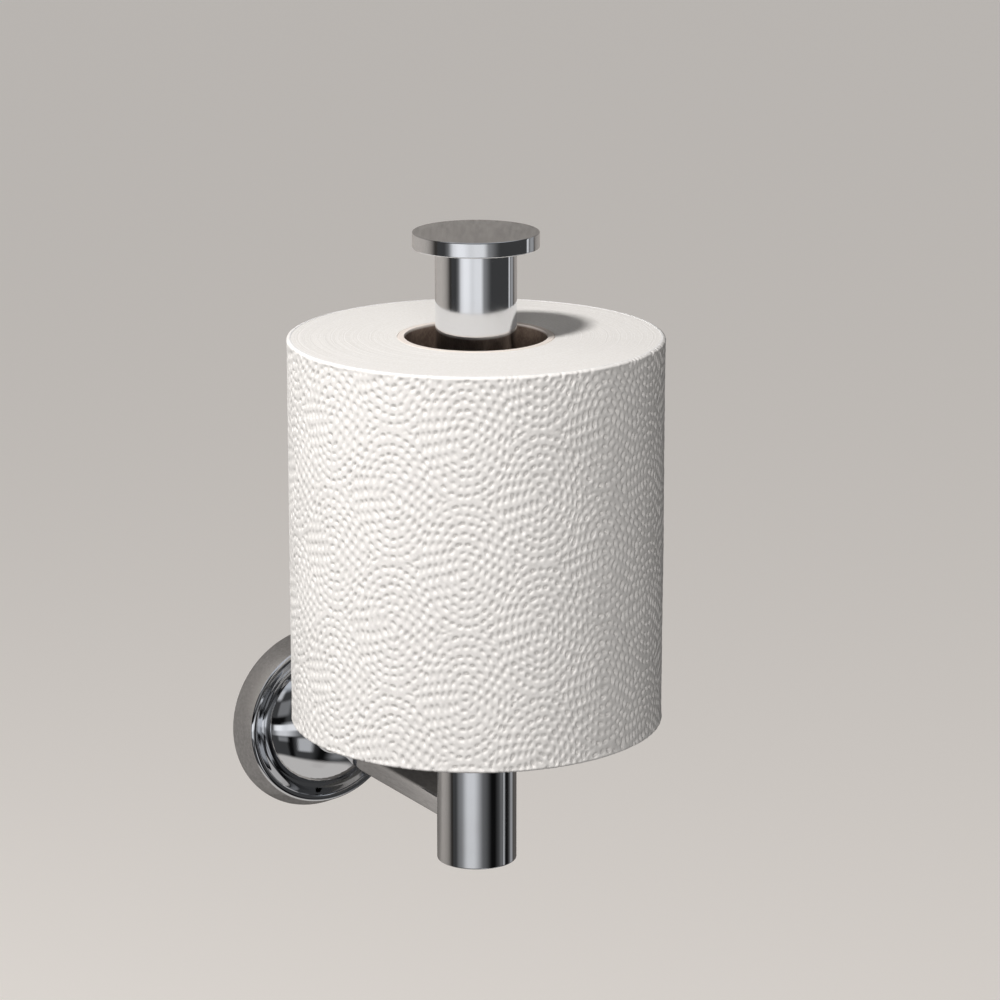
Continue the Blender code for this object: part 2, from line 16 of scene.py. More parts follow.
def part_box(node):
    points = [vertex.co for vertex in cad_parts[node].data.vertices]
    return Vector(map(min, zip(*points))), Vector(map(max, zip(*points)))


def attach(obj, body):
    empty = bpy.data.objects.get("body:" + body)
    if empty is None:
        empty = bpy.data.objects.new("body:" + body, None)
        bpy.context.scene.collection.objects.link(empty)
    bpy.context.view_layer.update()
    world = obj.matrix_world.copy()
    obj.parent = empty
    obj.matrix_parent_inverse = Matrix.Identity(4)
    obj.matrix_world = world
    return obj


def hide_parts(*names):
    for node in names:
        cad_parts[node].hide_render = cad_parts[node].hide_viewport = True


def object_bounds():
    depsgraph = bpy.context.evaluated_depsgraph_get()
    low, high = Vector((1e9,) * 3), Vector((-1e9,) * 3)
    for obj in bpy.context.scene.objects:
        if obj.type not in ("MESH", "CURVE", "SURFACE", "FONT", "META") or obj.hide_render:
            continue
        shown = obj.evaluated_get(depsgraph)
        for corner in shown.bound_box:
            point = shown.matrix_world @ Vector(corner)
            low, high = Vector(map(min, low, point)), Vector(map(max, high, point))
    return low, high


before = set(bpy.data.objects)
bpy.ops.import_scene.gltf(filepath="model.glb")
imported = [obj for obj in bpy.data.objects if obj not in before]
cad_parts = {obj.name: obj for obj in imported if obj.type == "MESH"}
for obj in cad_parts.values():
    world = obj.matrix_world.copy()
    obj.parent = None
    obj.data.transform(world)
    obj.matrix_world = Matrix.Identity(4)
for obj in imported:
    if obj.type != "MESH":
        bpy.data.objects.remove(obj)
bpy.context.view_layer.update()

MM = 0.001

# %% [markdown]
# ## Measures
# Nothing is placed by eye. The post's axis, its radius, the heights of the arm, the disc and the
# cap all come from the boxes of the CAD nodes, so the finished pieces land exactly on them.

# %% Measures from the frame


def low_high(node, axis):
    """Lowest and highest coordinate of a CAD node along one axis."""
    low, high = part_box(node)
    return low[axis], high[axis]


post_left, post_right = low_high("post_tube", 0)
POST_RADIUS = (post_right - post_left) / 2
POST_X = (post_right + post_left) / 2
POST_Y = sum(low_high("post_tube", 1)) / 2
TUBE_LOW, TUBE_HIGH = low_high("post_tube", 2)
CAP_TOP = low_high("cap", 2)[1]
CAP_RADIUS = low_high("cap", 0)[1] - POST_X
ROLL_LOW, ROLL_HIGH = low_high("paper_roll", 2)
roll_left, roll_right = low_high("paper_roll", 0)
ROLL_RADIUS = (roll_right - roll_left) / 2
ROLL_X, ROLL_Y = (roll_right + roll_left) / 2, sum(low_high("paper_roll", 1)) / 2
CORE_RADIUS = low_high("roll_core", 0)[1] - ROLL_X
ROSETTE_RADIUS = low_high("rosette", 0)[1]
POST = Matrix.Translation((POST_X, POST_Y, 0))
ROLL = Matrix.Translation((ROLL_X, ROLL_Y, 0))
OUT_OF_WALL = Matrix.Rotation(math.pi / 2, 4, "X")  # local +Z becomes -Y

print(f"post radius {POST_RADIUS / MM:.1f} mm, axis {-POST_Y / MM:.1f} mm from the wall")
print(f"roll radius {ROLL_RADIUS / MM:.1f} mm, {(ROLL_HIGH - ROLL_LOW) / MM:.1f} mm tall")

# %% [markdown]
# ## Formulas as node trees
# Both materials and Geometry Nodes are node trees, and a formula there is a chain of Math nodes.
# Laying out such a chain by hand is slow to write and hard to read. A `Wire` stands for a node's
# output, and knows how to add, multiply and so on, so a formula in this script reads like one
# while it builds the nodes behind it.

# %% A wire that can be used in sums


def feed(tree, socket, value):
    """Link a wire to a socket, or set the socket to a plain value."""
    if isinstance(value, Wire):
        tree.links.new(value.socket, socket)
    else:
        socket.default_value = value


class Wire:
    """One output of a node, usable in formulas."""

    def __init__(self, tree, socket):
        self.tree, self.socket = tree, socket

    def math(self, operation, *others, swap=False):
        made = self.tree.nodes.new("ShaderNodeMath")
        made.operation = operation
        values = (*others, self) if swap else (self, *others)
        for socket, value in zip(made.inputs, values):
            feed(self.tree, socket, value)
        return Wire(self.tree, made.outputs[0])

    def __add__(self, other):
        return self.math("ADD", other)

    def __radd__(self, other):
        return self.math("ADD", other)

    def __sub__(self, other):
        return self.math("SUBTRACT", other)

    def __rsub__(self, other):
        return self.math("SUBTRACT", other, swap=True)

    def __mul__(self, other):
        return self.math("MULTIPLY", other)

    def __rmul__(self, other):
        return self.math("MULTIPLY", other)

    def __truediv__(self, other):
        return self.math("DIVIDE", other)

    def __rtruediv__(self, other):
        return self.math("DIVIDE", other, swap=True)

    def __pow__(self, other):
        return self.math("POWER", other)

    def smooth(self, low, high):
        """0 at low, 1 at high, with a smooth rise between."""
        made = put(self.tree, "ShaderNodeMapRange", {"Value": self, "From Min": low, "From Max": high})
        made.interpolation_type = "SMOOTHSTEP"
        return Wire(self.tree, made.outputs[0])


def put(tree, kind, values=None, **settings):
    """A node with its settings, and each named input linked or set."""
    made = tree.nodes.new(kind)
    for key, value in settings.items():
        setattr(made, key, value)
    for key, value in (values or {}).items():
        feed(tree, made.inputs[key], value)
    return made


def out(node, name=0):
    return Wire(node.id_data, node.outputs[name])


def hypot(a, b):
    return (a * a + b * b).math("SQRT")


def blend(a, b, share):
    """a where share is 0, b where it is 1."""
    return a + (b - a) * share


def combine(tree, x, y, z):
    return out(put(tree, "ShaderNodeCombineXYZ", {"X": x, "Y": y, "Z": z}))


def new_group(name, kind, inputs, outputs):
    """A node group with named sockets: the tree, a wire for each input, and its output node."""
    tree = bpy.data.node_groups.new(name, kind)
    for label, socket_type, value in inputs:
        socket = tree.interface.new_socket(label, in_out="INPUT", socket_type=socket_type)
        if value is not None:
            socket.default_value = value
    for label, socket_type in outputs:
        tree.interface.new_socket(label, in_out="OUTPUT", socket_type=socket_type)
    start, end = tree.nodes.new("NodeGroupInput"), tree.nodes.new("NodeGroupOutput")
    return tree, {label: Wire(tree, start.outputs[label]) for label, _, _ in inputs}, end


FLOAT, INTEGER, VECTOR = "NodeSocketFloat", "NodeSocketInt", "NodeSocketVector"
MATERIAL, GEOMETRY = "NodeSocketMaterial", "NodeSocketGeometry"
print("node helpers ready")

# %% [markdown]
# ## Surface effects that several finishes share
# Real surfaces are never one value all over. Chrome carries a faint haze where it was wiped,
# turned metal has fine rings, a casting is grainy, and paper and card are matted fibres. Each of
# these is one node group here, with its own scale and amount, so that a material stays a few
# lines long and a change in the group reaches every finish that uses it.

# %% Shader group: wiped haze


def haze_group():
    """Soft patches with fine streaks in them: where a cloth or a hand left a thin film."""
    tree, take, end = new_group(
        "wiped haze",
        "ShaderNodeTree",
        [("Vector", VECTOR, None), ("Patch Size", FLOAT, 0.03), ("Streak Size", FLOAT, 0.002)],
        [("Haze", FLOAT)],
    )
    patches = put(
        tree, "ShaderNodeTexNoise", {"Vector": take["Vector"], "Scale": 1.0 / take["Patch Size"], "Detail": 3.0}
    )
    squeezed = put(tree, "ShaderNodeVectorMath", {0: take["Vector"]}, operation="MULTIPLY")
    squeezed.inputs[1].default_value = (1.0, 1.0, 0.12)
    streaks = put(
        tree, "ShaderNodeTexNoise", {"Vector": out(squeezed), "Scale": 1.0 / take["Streak Size"], "Detail": 2.0}
    )
    haze = out(patches, "Fac").smooth(0.45, 0.75) * (0.6 + out(streaks, "Fac") * 0.8)
    feed(tree, end.inputs["Haze"], haze)
    return tree


def grain_group():
    """Two sizes of noise added up, centred on zero: a cast or moulded skin."""
    tree, take, end = new_group(
        "grain",
        "ShaderNodeTree",
        [("Vector", VECTOR, None), ("Coarse Size", FLOAT, 0.002), ("Fine Size", FLOAT, 0.0004)],
        [("Height", FLOAT), ("Tone", FLOAT)],
    )
    coarse = put(
        tree, "ShaderNodeTexNoise", {"Vector": take["Vector"], "Scale": 1.0 / take["Coarse Size"], "Detail": 2.0}
    )
    fine = put(tree, "ShaderNodeTexNoise", {"Vector": take["Vector"], "Scale": 1.0 / take["Fine Size"], "Detail": 2.0})
    height = (out(coarse, "Fac") - 0.5) + (out(fine, "Fac") - 0.5) * 0.5
    feed(tree, end.inputs["Height"], height)
    feed(tree, end.inputs["Tone"], out(coarse, "Fac").smooth(0.35, 0.65))
    return tree


def fibre_group():
    """Matted fibres: thin noise stretched two ways, so that strands seem to cross."""
    tree, take, end = new_group(
        "matted fibres",
        "ShaderNodeTree",
        [("Vector", VECTOR, None), ("Fibre Size", FLOAT, 0.0006), ("Length", FLOAT, 6.0)],
        [("Height", FLOAT), ("Tone", FLOAT)],
    )
    strands = []
    for tilt in (0.7, -0.9):
        turned = put(tree, "ShaderNodeVectorRotate", {"Vector": take["Vector"], "Axis": (0.3, 1.0, 0.2), "Angle": tilt})
        parts = put(tree, "ShaderNodeSeparateXYZ", {0: out(turned)})
        long_way = combine(tree, out(parts, "X"), out(parts, "Y"), out(parts, "Z") / take["Length"])
        noise = put(tree, "ShaderNodeTexNoise", {"Vector": long_way, "Scale": 1.0 / take["Fibre Size"], "Detail": 2.0})
        strands.append(out(noise, "Fac"))
    height = strands[0].math("MAXIMUM", strands[1])
    feed(tree, end.inputs["Height"], height)
    feed(tree, end.inputs["Tone"], height.smooth(0.4, 0.75))
    return tree


def rings_group():
    """Fine rings round an upright axis, a little uneven: lathe marks, or the edges of wound paper."""
    tree, take, end = new_group(
        "rings round an axis",
        "ShaderNodeTree",
        [("Vector", VECTOR, None), ("Ring Width", FLOAT, 0.0004), ("Waver", FLOAT, 0.0004)],
        [("Height", FLOAT)],
    )
    parts = put(tree, "ShaderNodeSeparateXYZ", {0: take["Vector"]})
    wander = put(tree, "ShaderNodeTexNoise", {"Vector": take["Vector"], "Scale": 120.0, "Detail": 2.0})
    radius = hypot(out(parts, "X"), out(parts, "Y")) + (out(wander, "Fac") - 0.5) * take["Waver"]
    lines = put(tree, "ShaderNodeTexNoise", {"Scale": 1.0, "Detail": 3.0}, noise_dimensions="1D")
    feed(tree, lines.inputs["W"], radius / take["Ring Width"])
    feed(tree, end.inputs["Height"], out(lines, "Fac"))
    return tree


HAZE, GRAIN, FIBRE, RINGS = haze_group(), grain_group(), fibre_group(), rings_group()
print("shader groups:", [group.name for group in (HAZE, GRAIN, FIBRE, RINGS)])

# %% [markdown]
# ## Finishes
# Every finish is one Principled BSDF fed by the groups above. Object coordinates carry the
# patterns, since every finished piece keeps its object at the origin and the pattern then stays
# fixed to the metal. Turned pieces on the post are centred on its axis by a subtraction node.

# %% Material helpers


def new_material(name, colour, roughness, metallic=0.0):
    """A material with a Principled BSDF: the material, its tree and its shader."""
    made = bpy.data.materials.new(name)
    made.use_nodes = True
    shader = made.node_tree.nodes["Principled BSDF"]
    shader.inputs["Base Color"].default_value = (*colour, 1.0)
    shader.inputs["Roughness"].default_value = roughness
    shader.inputs["Metallic"].default_value = metallic
    made.diffuse_color = (*colour, 1.0)
    return made, made.node_tree, shader


def object_place(tree, centre=(0.0, 0.0, 0.0), turn=(0.0, 0.0, 0.0)):
    """Object coordinates, moved so that a point is at the middle of the pattern, then turned."""
    place = put(tree, "ShaderNodeTexCoord")
    moved = put(tree, "ShaderNodeVectorMath", {0: out(place, "Object")}, operation="SUBTRACT")
    moved.inputs[1].default_value = centre
    turned = put(tree, "ShaderNodeVectorRotate", {"Vector": out(moved), "Rotation": turn}, rotation_type="EULER_XYZ")
    return out(turned)


def use_group(tree, group, **values):
    made = tree.nodes.new("ShaderNodeGroup")
    made.node_tree = group
    for label, value in values.items():
        feed(tree, made.inputs[label.replace("_", " ")], value)
    return made


def tint(tree, dark, light, share):
    """A colour between two, by a mask."""
    mixed = put(tree, "ShaderNodeMix", {"Factor": share}, data_type="RGBA")
    mixed.inputs[6].default_value = (*dark, 1.0)
    mixed.inputs[7].default_value = (*light, 1.0)
    return Wire(tree, mixed.outputs[2])


def bump(tree, shader, height, distance, strength=1.0):
    made = put(tree, "ShaderNodeBump", {"Height": height, "Distance": distance, "Strength": strength})
    feed(tree, shader.inputs["Normal"], out(made))


POST_MIDDLE, ROLL_MIDDLE = (POST_X, POST_Y, 0.0), (ROLL_X, ROLL_Y, 0.0)
print("materials read Object coordinates round", [round(v, 4) for v in POST_MIDDLE])

# %% Metals


def polished_chrome():
    """Bright plating over polished metal: nearly a mirror, with a breath of haze and slow waves."""
    made, tree, shader = new_material("polished_chrome", (0.80, 0.81, 0.83), 0.04, 1.0)
    place = object_place(tree, POST_MIDDLE)
    haze = use_group(tree, HAZE, Vector=place, Patch_Size=0.030, Streak_Size=0.0016)
    feed(tree, shader.inputs["Roughness"], 0.035 + out(haze, "Haze") * 0.07)
    feed(tree, shader.inputs["Base Color"], tint(tree, (0.80, 0.81, 0.83), (0.76, 0.765, 0.775), out(haze, "Haze")))
    waves = put(tree, "ShaderNodeTexNoise", {"Vector": place, "Scale": 55.0, "Detail": 1.0})
    bump(tree, shader, out(waves, "Fac"), 0.00003)
    return made


def zinc_casting():
    """Die-cast plate: grey, grainy, dull, a little darker where the flow left marks."""
    made, tree, shader = new_material("zinc_casting", (0.58, 0.59, 0.60), 0.42, 1.0)
    grain = use_group(tree, GRAIN, Vector=object_place(tree), Coarse_Size=0.0045, Fine_Size=0.0006)
    feed(tree, shader.inputs["Base Color"], tint(tree, (0.47, 0.475, 0.48), (0.63, 0.635, 0.64), out(grain, "Tone")))
    feed(tree, shader.inputs["Roughness"], 0.36 + out(grain, "Tone") * 0.14)
    bump(tree, shader, out(grain, "Height"), 0.00010)
    return made


def turned_metal(name, dark, light, roughness, centre, turn=(0.0, 0.0, 0.0)):
    """Metal from a lathe: fine rings in the bump, and small changes of tone."""
    made, tree, shader = new_material(name, light, roughness, 1.0)
    place = object_place(tree, centre, turn)
    rings = use_group(tree, RINGS, Vector=place, Ring_Width=0.00012, Waver=0.00005)
    grain = use_group(tree, GRAIN, Vector=place, Coarse_Size=0.0030, Fine_Size=0.0005)
    feed(tree, shader.inputs["Base Color"], tint(tree, dark, light, out(grain, "Tone")))
    feed(tree, shader.inputs["Roughness"], roughness + (out(rings, "Height") - 0.5) * 0.12)
    bump(tree, shader, out(rings, "Height") * 0.6 + out(grain, "Height") * 0.4, 0.00004)
    return made


CHROME = polished_chrome()
ZINC = zinc_casting()
STEEL = turned_metal("zinc_plated_steel", (0.46, 0.46, 0.45), (0.62, 0.62, 0.61), 0.28, POST_MIDDLE)
BRASS = turned_metal("turned_brass", (0.66, 0.48, 0.21), (0.83, 0.65, 0.33), 0.26, POST_MIDDLE)
print("metals:", [metal.name for metal in (CHROME, ZINC, STEEL, BRASS)])

# %% Plastics, rubber, card and paper


def moulded(name, dark, light, roughness, size=0.0030):
    """A moulded part: even colour with a faint flow pattern and a fine skin."""
    made, tree, shader = new_material(name, light, roughness)
    grain = use_group(tree, GRAIN, Vector=object_place(tree), Coarse_Size=size, Fine_Size=size / 8)
    feed(tree, shader.inputs["Base Color"], tint(tree, dark, light, out(grain, "Tone")))
    feed(tree, shader.inputs["Roughness"], roughness + out(grain, "Tone") * 0.08)
    bump(tree, shader, out(grain, "Height"), 0.00005)
    return made


def card():
    """Grey-brown board of matted fibres, with flecks, and paler at its top end."""
    made, tree, shader = new_material("core_card", (0.42, 0.33, 0.26), 0.9)
    place = object_place(tree, ROLL_MIDDLE)
    fibre = use_group(tree, FIBRE, Vector=place, Fibre_Size=0.0007, Length=7.0)
    flecks = use_group(tree, GRAIN, Vector=place, Coarse_Size=0.0050, Fine_Size=0.0012)
    shade = out(fibre, "Tone") * 0.6 + out(flecks, "Tone") * 0.4
    board = tint(tree, (0.15, 0.105, 0.08), (0.25, 0.19, 0.15), shade)
    edge = out(put(tree, "ShaderNodeSeparateXYZ", {0: place}), "Z").smooth(ROLL_HIGH - 0.9 * MM, ROLL_HIGH - 0.1 * MM)
    mixed = put(tree, "ShaderNodeMix", {"Factor": edge}, data_type="RGBA")
    feed(tree, mixed.inputs[6], board)
    mixed.inputs[7].default_value = (0.86, 0.79, 0.73, 1.0)
    feed(tree, shader.inputs["Base Color"], Wire(tree, mixed.outputs[2]))
    bump(tree, shader, out(fibre, "Height"), 0.00012)
    return made


def tissue():
    """Soft white paper: fibres too fine to be modelled, and a warm tone."""
    made, tree, shader = new_material("tissue", (0.90, 0.885, 0.865), 0.95)
    place = object_place(tree, ROLL_MIDDLE)
    fibre = use_group(tree, FIBRE, Vector=place, Fibre_Size=0.00035, Length=4.0)
    feed(tree, shader.inputs["Base Color"], tint(tree, (0.875, 0.855, 0.83), (0.92, 0.905, 0.885), out(fibre, "Tone")))
    feed(tree, shader.inputs["Roughness"], 0.88 + out(fibre, "Tone") * 0.1)
    bump(tree, shader, out(fibre, "Height"), 0.00008)
    return made


def tissue_edges():
    """The end of the roll: the cut edges of hundreds of turns, pressed together."""
    made, tree, shader = new_material("tissue_edges", (0.90, 0.885, 0.865), 0.95)
    place = object_place(tree, ROLL_MIDDLE)
    turns = use_group(tree, RINGS, Vector=place, Ring_Width=0.00040, Waver=0.0010)
    fibre = use_group(tree, FIBRE, Vector=place, Fibre_Size=0.0005, Length=2.0)
    shade = out(turns, "Height") * 0.7 + out(fibre, "Tone") * 0.3
    feed(tree, shader.inputs["Base Color"], tint(tree, (0.85, 0.83, 0.80), (0.93, 0.915, 0.895), shade.smooth(0.3, 0.7)))
    bump(tree, shader, out(turns, "Height") * 0.7 + out(fibre, "Height") * 0.3, 0.00010)
    return made


WHITE_NYLON = moulded("white_nylon", (0.78, 0.77, 0.74), (0.86, 0.86, 0.83), 0.42)
PLUG_NYLON = moulded("plug_nylon", (0.60, 0.60, 0.58), (0.70, 0.70, 0.68), 0.5, 0.0022)
RUBBER = moulded("black_rubber", (0.018, 0.018, 0.018), (0.035, 0.035, 0.035), 0.55, 0.0016)
CARD, TISSUE, TISSUE_EDGES = card(), tissue(), tissue_edges()
print("soft finishes:", [m.name for m in (WHITE_NYLON, PLUG_NYLON, RUBBER, CARD, TISSUE, TISSUE_EDGES)])

# %% [markdown]
# ## Turning on a lathe
# Most of this holder is made on a lathe, so most pieces here are an outline spun round an axis.
# The outline is given as radius and height. Two things keep the mirror finish clean: every edge
# is a short arc rather than a hard corner, and each long straight run gets a support ring near
# both its ends, so that the smooth shading of the arc doesn't bleed into the flat.

# %% The lathe

SUPPORT = 0.05 * MM
ROUND_STEPS = 6
SEGMENTS = 256


def arc(centre, radius, start, end, steps=ROUND_STEPS):
    """(radius, height) points round an arc; angles in degrees from the outward direction."""
    turns = [math.radians(start + (end - start) * i / steps) for i in range(steps + 1)]
    return [(centre[0] + radius * math.cos(a), centre[1] + radius * math.sin(a)) for a in turns]


def supported(profile):
    """The outline with a support point near each end of its long straight runs."""
    points = [profile[0]]
    for (r0, h0), (r1, h1) in zip(profile[:-1], profile[1:]):
        length = math.hypot(r1 - r0, h1 - h0)
        if length > 6 * SUPPORT:
            share = SUPPORT / length
            points += [(r0 + (r1 - r0) * s, h0 + (h1 - h0) * s) for s in (share, 1 - share)]
        points.append((r1, h1))
    return points


def softened(corners, radius, steps=ROUND_STEPS):
    """An outline whose corners are each rounded by an arc. The first and last points are kept."""
    points = [corners[0]]
    for before, corner, after in zip(corners[:-2], corners[1:-1], corners[2:]):
        here = Vector(corner)
        back, on = (Vector(before) - here), (Vector(after) - here)
        angle = back.angle(on)
        cut = min(radius / math.tan(angle / 2), 0.45 * back.length, 0.45 * on.length)
        start, end = here + back.normalized() * cut, here + on.normalized() * cut
        for i in range(steps + 1):
            s = i / steps
            points.append(tuple(start * (1 - s) ** 2 + here * 2 * s * (1 - s) + end * s**2))
    points.append(corners[-1])
    return points


def spin(profile, segments=SEGMENTS, work=None):
    """A closed solid turned about Z; it is a ring unless the outline starts and ends on the axis."""
    work = work or bmesh.new()
    loops = []
    for radius, height in profile:
        if radius < 1e-7:
            loops.append([work.verts.new((0, 0, height))])
            continue
        turns = [2 * math.pi * i / segments for i in range(segments)]
        loops.append([work.verts.new((radius * math.cos(a), radius * math.sin(a), height)) for a in turns])
    pairs = list(zip(loops[:-1], loops[1:]))
    if len(loops[0]) > 1 or len(loops[-1]) > 1:
        pairs.append((loops[-1], loops[0]))
    for low, high in pairs:
        for i in range(segments):
            j = (i + 1) % segments
            corners = [low[i % len(low)], low[j % len(low)], high[j % len(high)], high[i % len(high)]]
            unique = list(dict.fromkeys(corners))
            if len(unique) > 2:
                work.faces.new(unique)
    return work


def to_mesh(name, work, place=None, sharp=35):
    """A mesh from a bmesh: normals outward, smooth shaded with sharp edges past an angle."""
    if place is not None:
        work.transform(place)
    bmesh.ops.recalc_face_normals(work, faces=work.faces)
    mesh = bpy.data.meshes.new(name)
    work.to_mesh(mesh)
    work.free()
    mesh.shade_smooth()
    mesh.set_sharp_from_angle(angle=math.radians(sharp))
    return mesh


def finished(name, mesh, material, body, slot, *stands_for):
    """The finished piece: on its body, in place of the CAD nodes it stands for. The slot is not used."""
    if material is not None:
        mesh.materials.clear()
        mesh.materials.append(material)
    piece = bpy.data.objects.new(name, mesh)
    bpy.context.scene.collection.objects.link(piece)
    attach(piece, body)
    if stands_for:
        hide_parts(*stands_for)
    low, high = np.array([v.co for v in mesh.vertices]).min(0), np.array([v.co for v in mesh.vertices]).max(0)
    size = " x ".join(f"{v / MM:.1f}" for v in high - low)
    print(f"{name}: {len(mesh.vertices)} points, {size} mm")
    return piece


# %% [markdown]
# ## Carving holes and sockets
# Screw holes, cross recesses and hex sockets are cut with the Boolean modifier's exact solver.
# The result is copied out as a plain mesh straight away, so no modifier is left on the piece.

# %% The carver


def plain_mesh(thing):
    """What an object looks like with its modifiers, as an ordinary mesh."""
    graph = bpy.context.evaluated_depsgraph_get()
    return bpy.data.meshes.new_from_object(thing.evaluated_get(graph))


def carve(mesh, *tools):
    """The mesh with each tool's bmesh cut away from it."""
    target = bpy.data.objects.new("carved", mesh)
    bpy.context.scene.collection.objects.link(target)
    cutters = []
    for i, work in enumerate(tools):
        cutter = bpy.data.objects.new(f"cutter_{i}", to_mesh(f"cutter_{i}", work))
        bpy.context.scene.collection.objects.link(cutter)
        step = target.modifiers.new(cutter.name, "BOOLEAN")
        step.operation, step.solver, step.object = "DIFFERENCE", "EXACT", cutter
        cutters.append(cutter)
    result = plain_mesh(target)
    for thing in (target, *cutters):
        bpy.data.objects.remove(thing)
    result.shade_smooth()
    result.set_sharp_from_angle(angle=math.radians(35))
    return result


def rod(radius, low, high, segments=48):
    return spin([(0, low), (radius, low), (radius, high), (0, high)], segments)


def block(low, high, turn=0.0):
    """A box between two corners, turned about Z, as a bmesh."""
    work = bmesh.new()
    size, middle = Vector(high) - Vector(low), (Vector(high) + Vector(low)) / 2
    place = Matrix.Rotation(turn, 4, "Z") @ Matrix.Translation(middle) @ Matrix.Diagonal((*size, 1.0))
    bmesh.ops.create_cube(work, size=1.0, matrix=place)
    return work


def placed(work, place):
    work.transform(place)
    return work


print("lathe and carver ready")

# %% [markdown]
# ## Threads and ribs with Geometry Nodes
# A screw thread and the ribs of a wall plug follow the same rule: the radius rises and falls
# along the length, and in a thread that wave also advances by one pitch for each turn. The tree
# below bends a grid round an axis and lets that rule set the radius of every point. Merge by
# Distance closes the seam and both ends, so the result is a solid.

# %% Geometry Nodes: threaded or ribbed rod


def threaded_rod_tree():
    tree, take, end = new_group(
        "threaded rod",
        "GeometryNodeTree",
        [
            ("Core Radius", FLOAT, 0.002),
            ("Tooth Height", FLOAT, 0.0005),
            ("Pitch", FLOAT, 0.001),
            ("Length", FLOAT, 0.02),
            ("Tip Length", FLOAT, 0.003),
            ("Plain Length", FLOAT, 0.0),
            ("Advance", FLOAT, 1.0),
            ("Round", INTEGER, 48),
            ("Rows", INTEGER, 100),
            ("Material", MATERIAL, None),
        ],
        [("Geometry", GEOMETRY)],
    )
    grid = put(
        tree,
        "GeometryNodeMeshGrid",
        {"Size X": 1.0, "Size Y": 1.0, "Vertices X": take["Round"] + 1, "Vertices Y": take["Rows"]},
    )
    spot = put(tree, "ShaderNodeSeparateXYZ", {0: out(put(tree, "GeometryNodeInputPosition"))})
    turn = out(spot, "X") + 0.5
    share = out(spot, "Y") + 0.5
    height = share * take["Length"]
    wave = (height / take["Pitch"] - turn * take["Advance"]).math("FRACT")
    tooth = (1.0 - (wave * 2 - 1).math("ABSOLUTE") * 1.35).math("MAXIMUM", 0.0)
    cut = height.smooth(0.0, take["Tip Length"])
    threaded = 1.0 - (height - (take["Length"] - take["Plain Length"])).smooth(-0.0004, 0.0004)
    pointed = (height / take["Tip Length"]).math("MINIMUM", 1.0).math("SQRT")
    radius = take["Core Radius"] * pointed + take["Tooth Height"] * tooth * cut * threaded
    closed = share.math("GREATER_THAN", 0.0001) * share.math("LESS_THAN", 0.9999)
    radius = radius * closed
    angle = turn * (2 * math.pi)
    bent = combine(tree, radius * angle.math("COSINE"), radius * angle.math("SINE"), height)
    moved = put(tree, "GeometryNodeSetPosition", {"Geometry": out(grid), "Position": bent})
    merged = put(tree, "GeometryNodeMergeByDistance", {"Geometry": out(moved), "Distance": 0.000001})
    real = put(tree, "GeometryNodeRealizeInstances", {"Geometry": out(merged)})
    coated = put(tree, "GeometryNodeSetMaterial", {"Geometry": out(real), "Material": take["Material"]})
    feed(tree, end.inputs["Geometry"], out(coated))
    return tree


def grow(tree, **values):
    """The plain mesh that a Geometry Nodes tree makes with these inputs."""
    carrier = bpy.data.objects.new("carrier", bpy.data.meshes.new("carrier"))
    bpy.context.scene.collection.objects.link(carrier)
    step = carrier.modifiers.new("nodes", "NODES")
    step.node_group = tree
    known = {s.name: s.identifier for s in tree.interface.items_tree if getattr(s, "in_out", "") == "INPUT"}
    for label, value in values.items():
        step[known[label.replace("_", " ")]] = value
    mesh = plain_mesh(carrier)
    bpy.data.objects.remove(carrier)
    return mesh


THREAD = threaded_rod_tree()


def thread_work(place, **values):
    """A threaded rod as a bmesh in its place, with its normals outward."""
    mesh = grow(THREAD, **values)
    work = bmesh.new()
    work.from_mesh(mesh)
    bpy.data.meshes.remove(mesh)
    work.transform(place)
    bmesh.ops.recalc_face_normals(work, faces=work.faces)
    return work


def join(name, *parts, sharp=35):
    """One mesh from several bmeshes or meshes."""
    work = bmesh.new()
    for part in parts:
        if isinstance(part, bmesh.types.BMesh):
            step = bpy.data.meshes.new("part")
            part.to_mesh(step)
            part.free()
            part = step
        work.from_mesh(part)
        bpy.data.meshes.remove(part)
    mesh = bpy.data.meshes.new(name)
    work.to_mesh(mesh)
    work.free()
    mesh.shade_smooth()
    mesh.set_sharp_from_angle(angle=math.radians(sharp))
    return mesh


print("Geometry Nodes tree:", THREAD.name)

# %% [markdown]
# ## The rosette
# The cover ring that hides the wall plate. It has a rim that leans in, a narrow round lip, and a
# cove that runs down to the dome. All of it is one turned outline. The lip is an arc and the cove
# a quarter of a sine wave, which is what gives the bright line and the dark ring beside it.

# %% Rosette

LIP_RADIUS, LIP_ROUND, LIP_CREST = 24.2 * MM, 1.3 * MM, low_high("rosette", 1)[0] * -1
DOME_RADIUS = low_high("arm_boss", 0)[1]
TROUGH = (DOME_RADIUS + 0.04 * MM, 4.9 * MM)
PLATE_RADIUS = low_high("wall_plate", 0)[1]
RECESS = 3.3 * MM
COVE_STEPS = 14


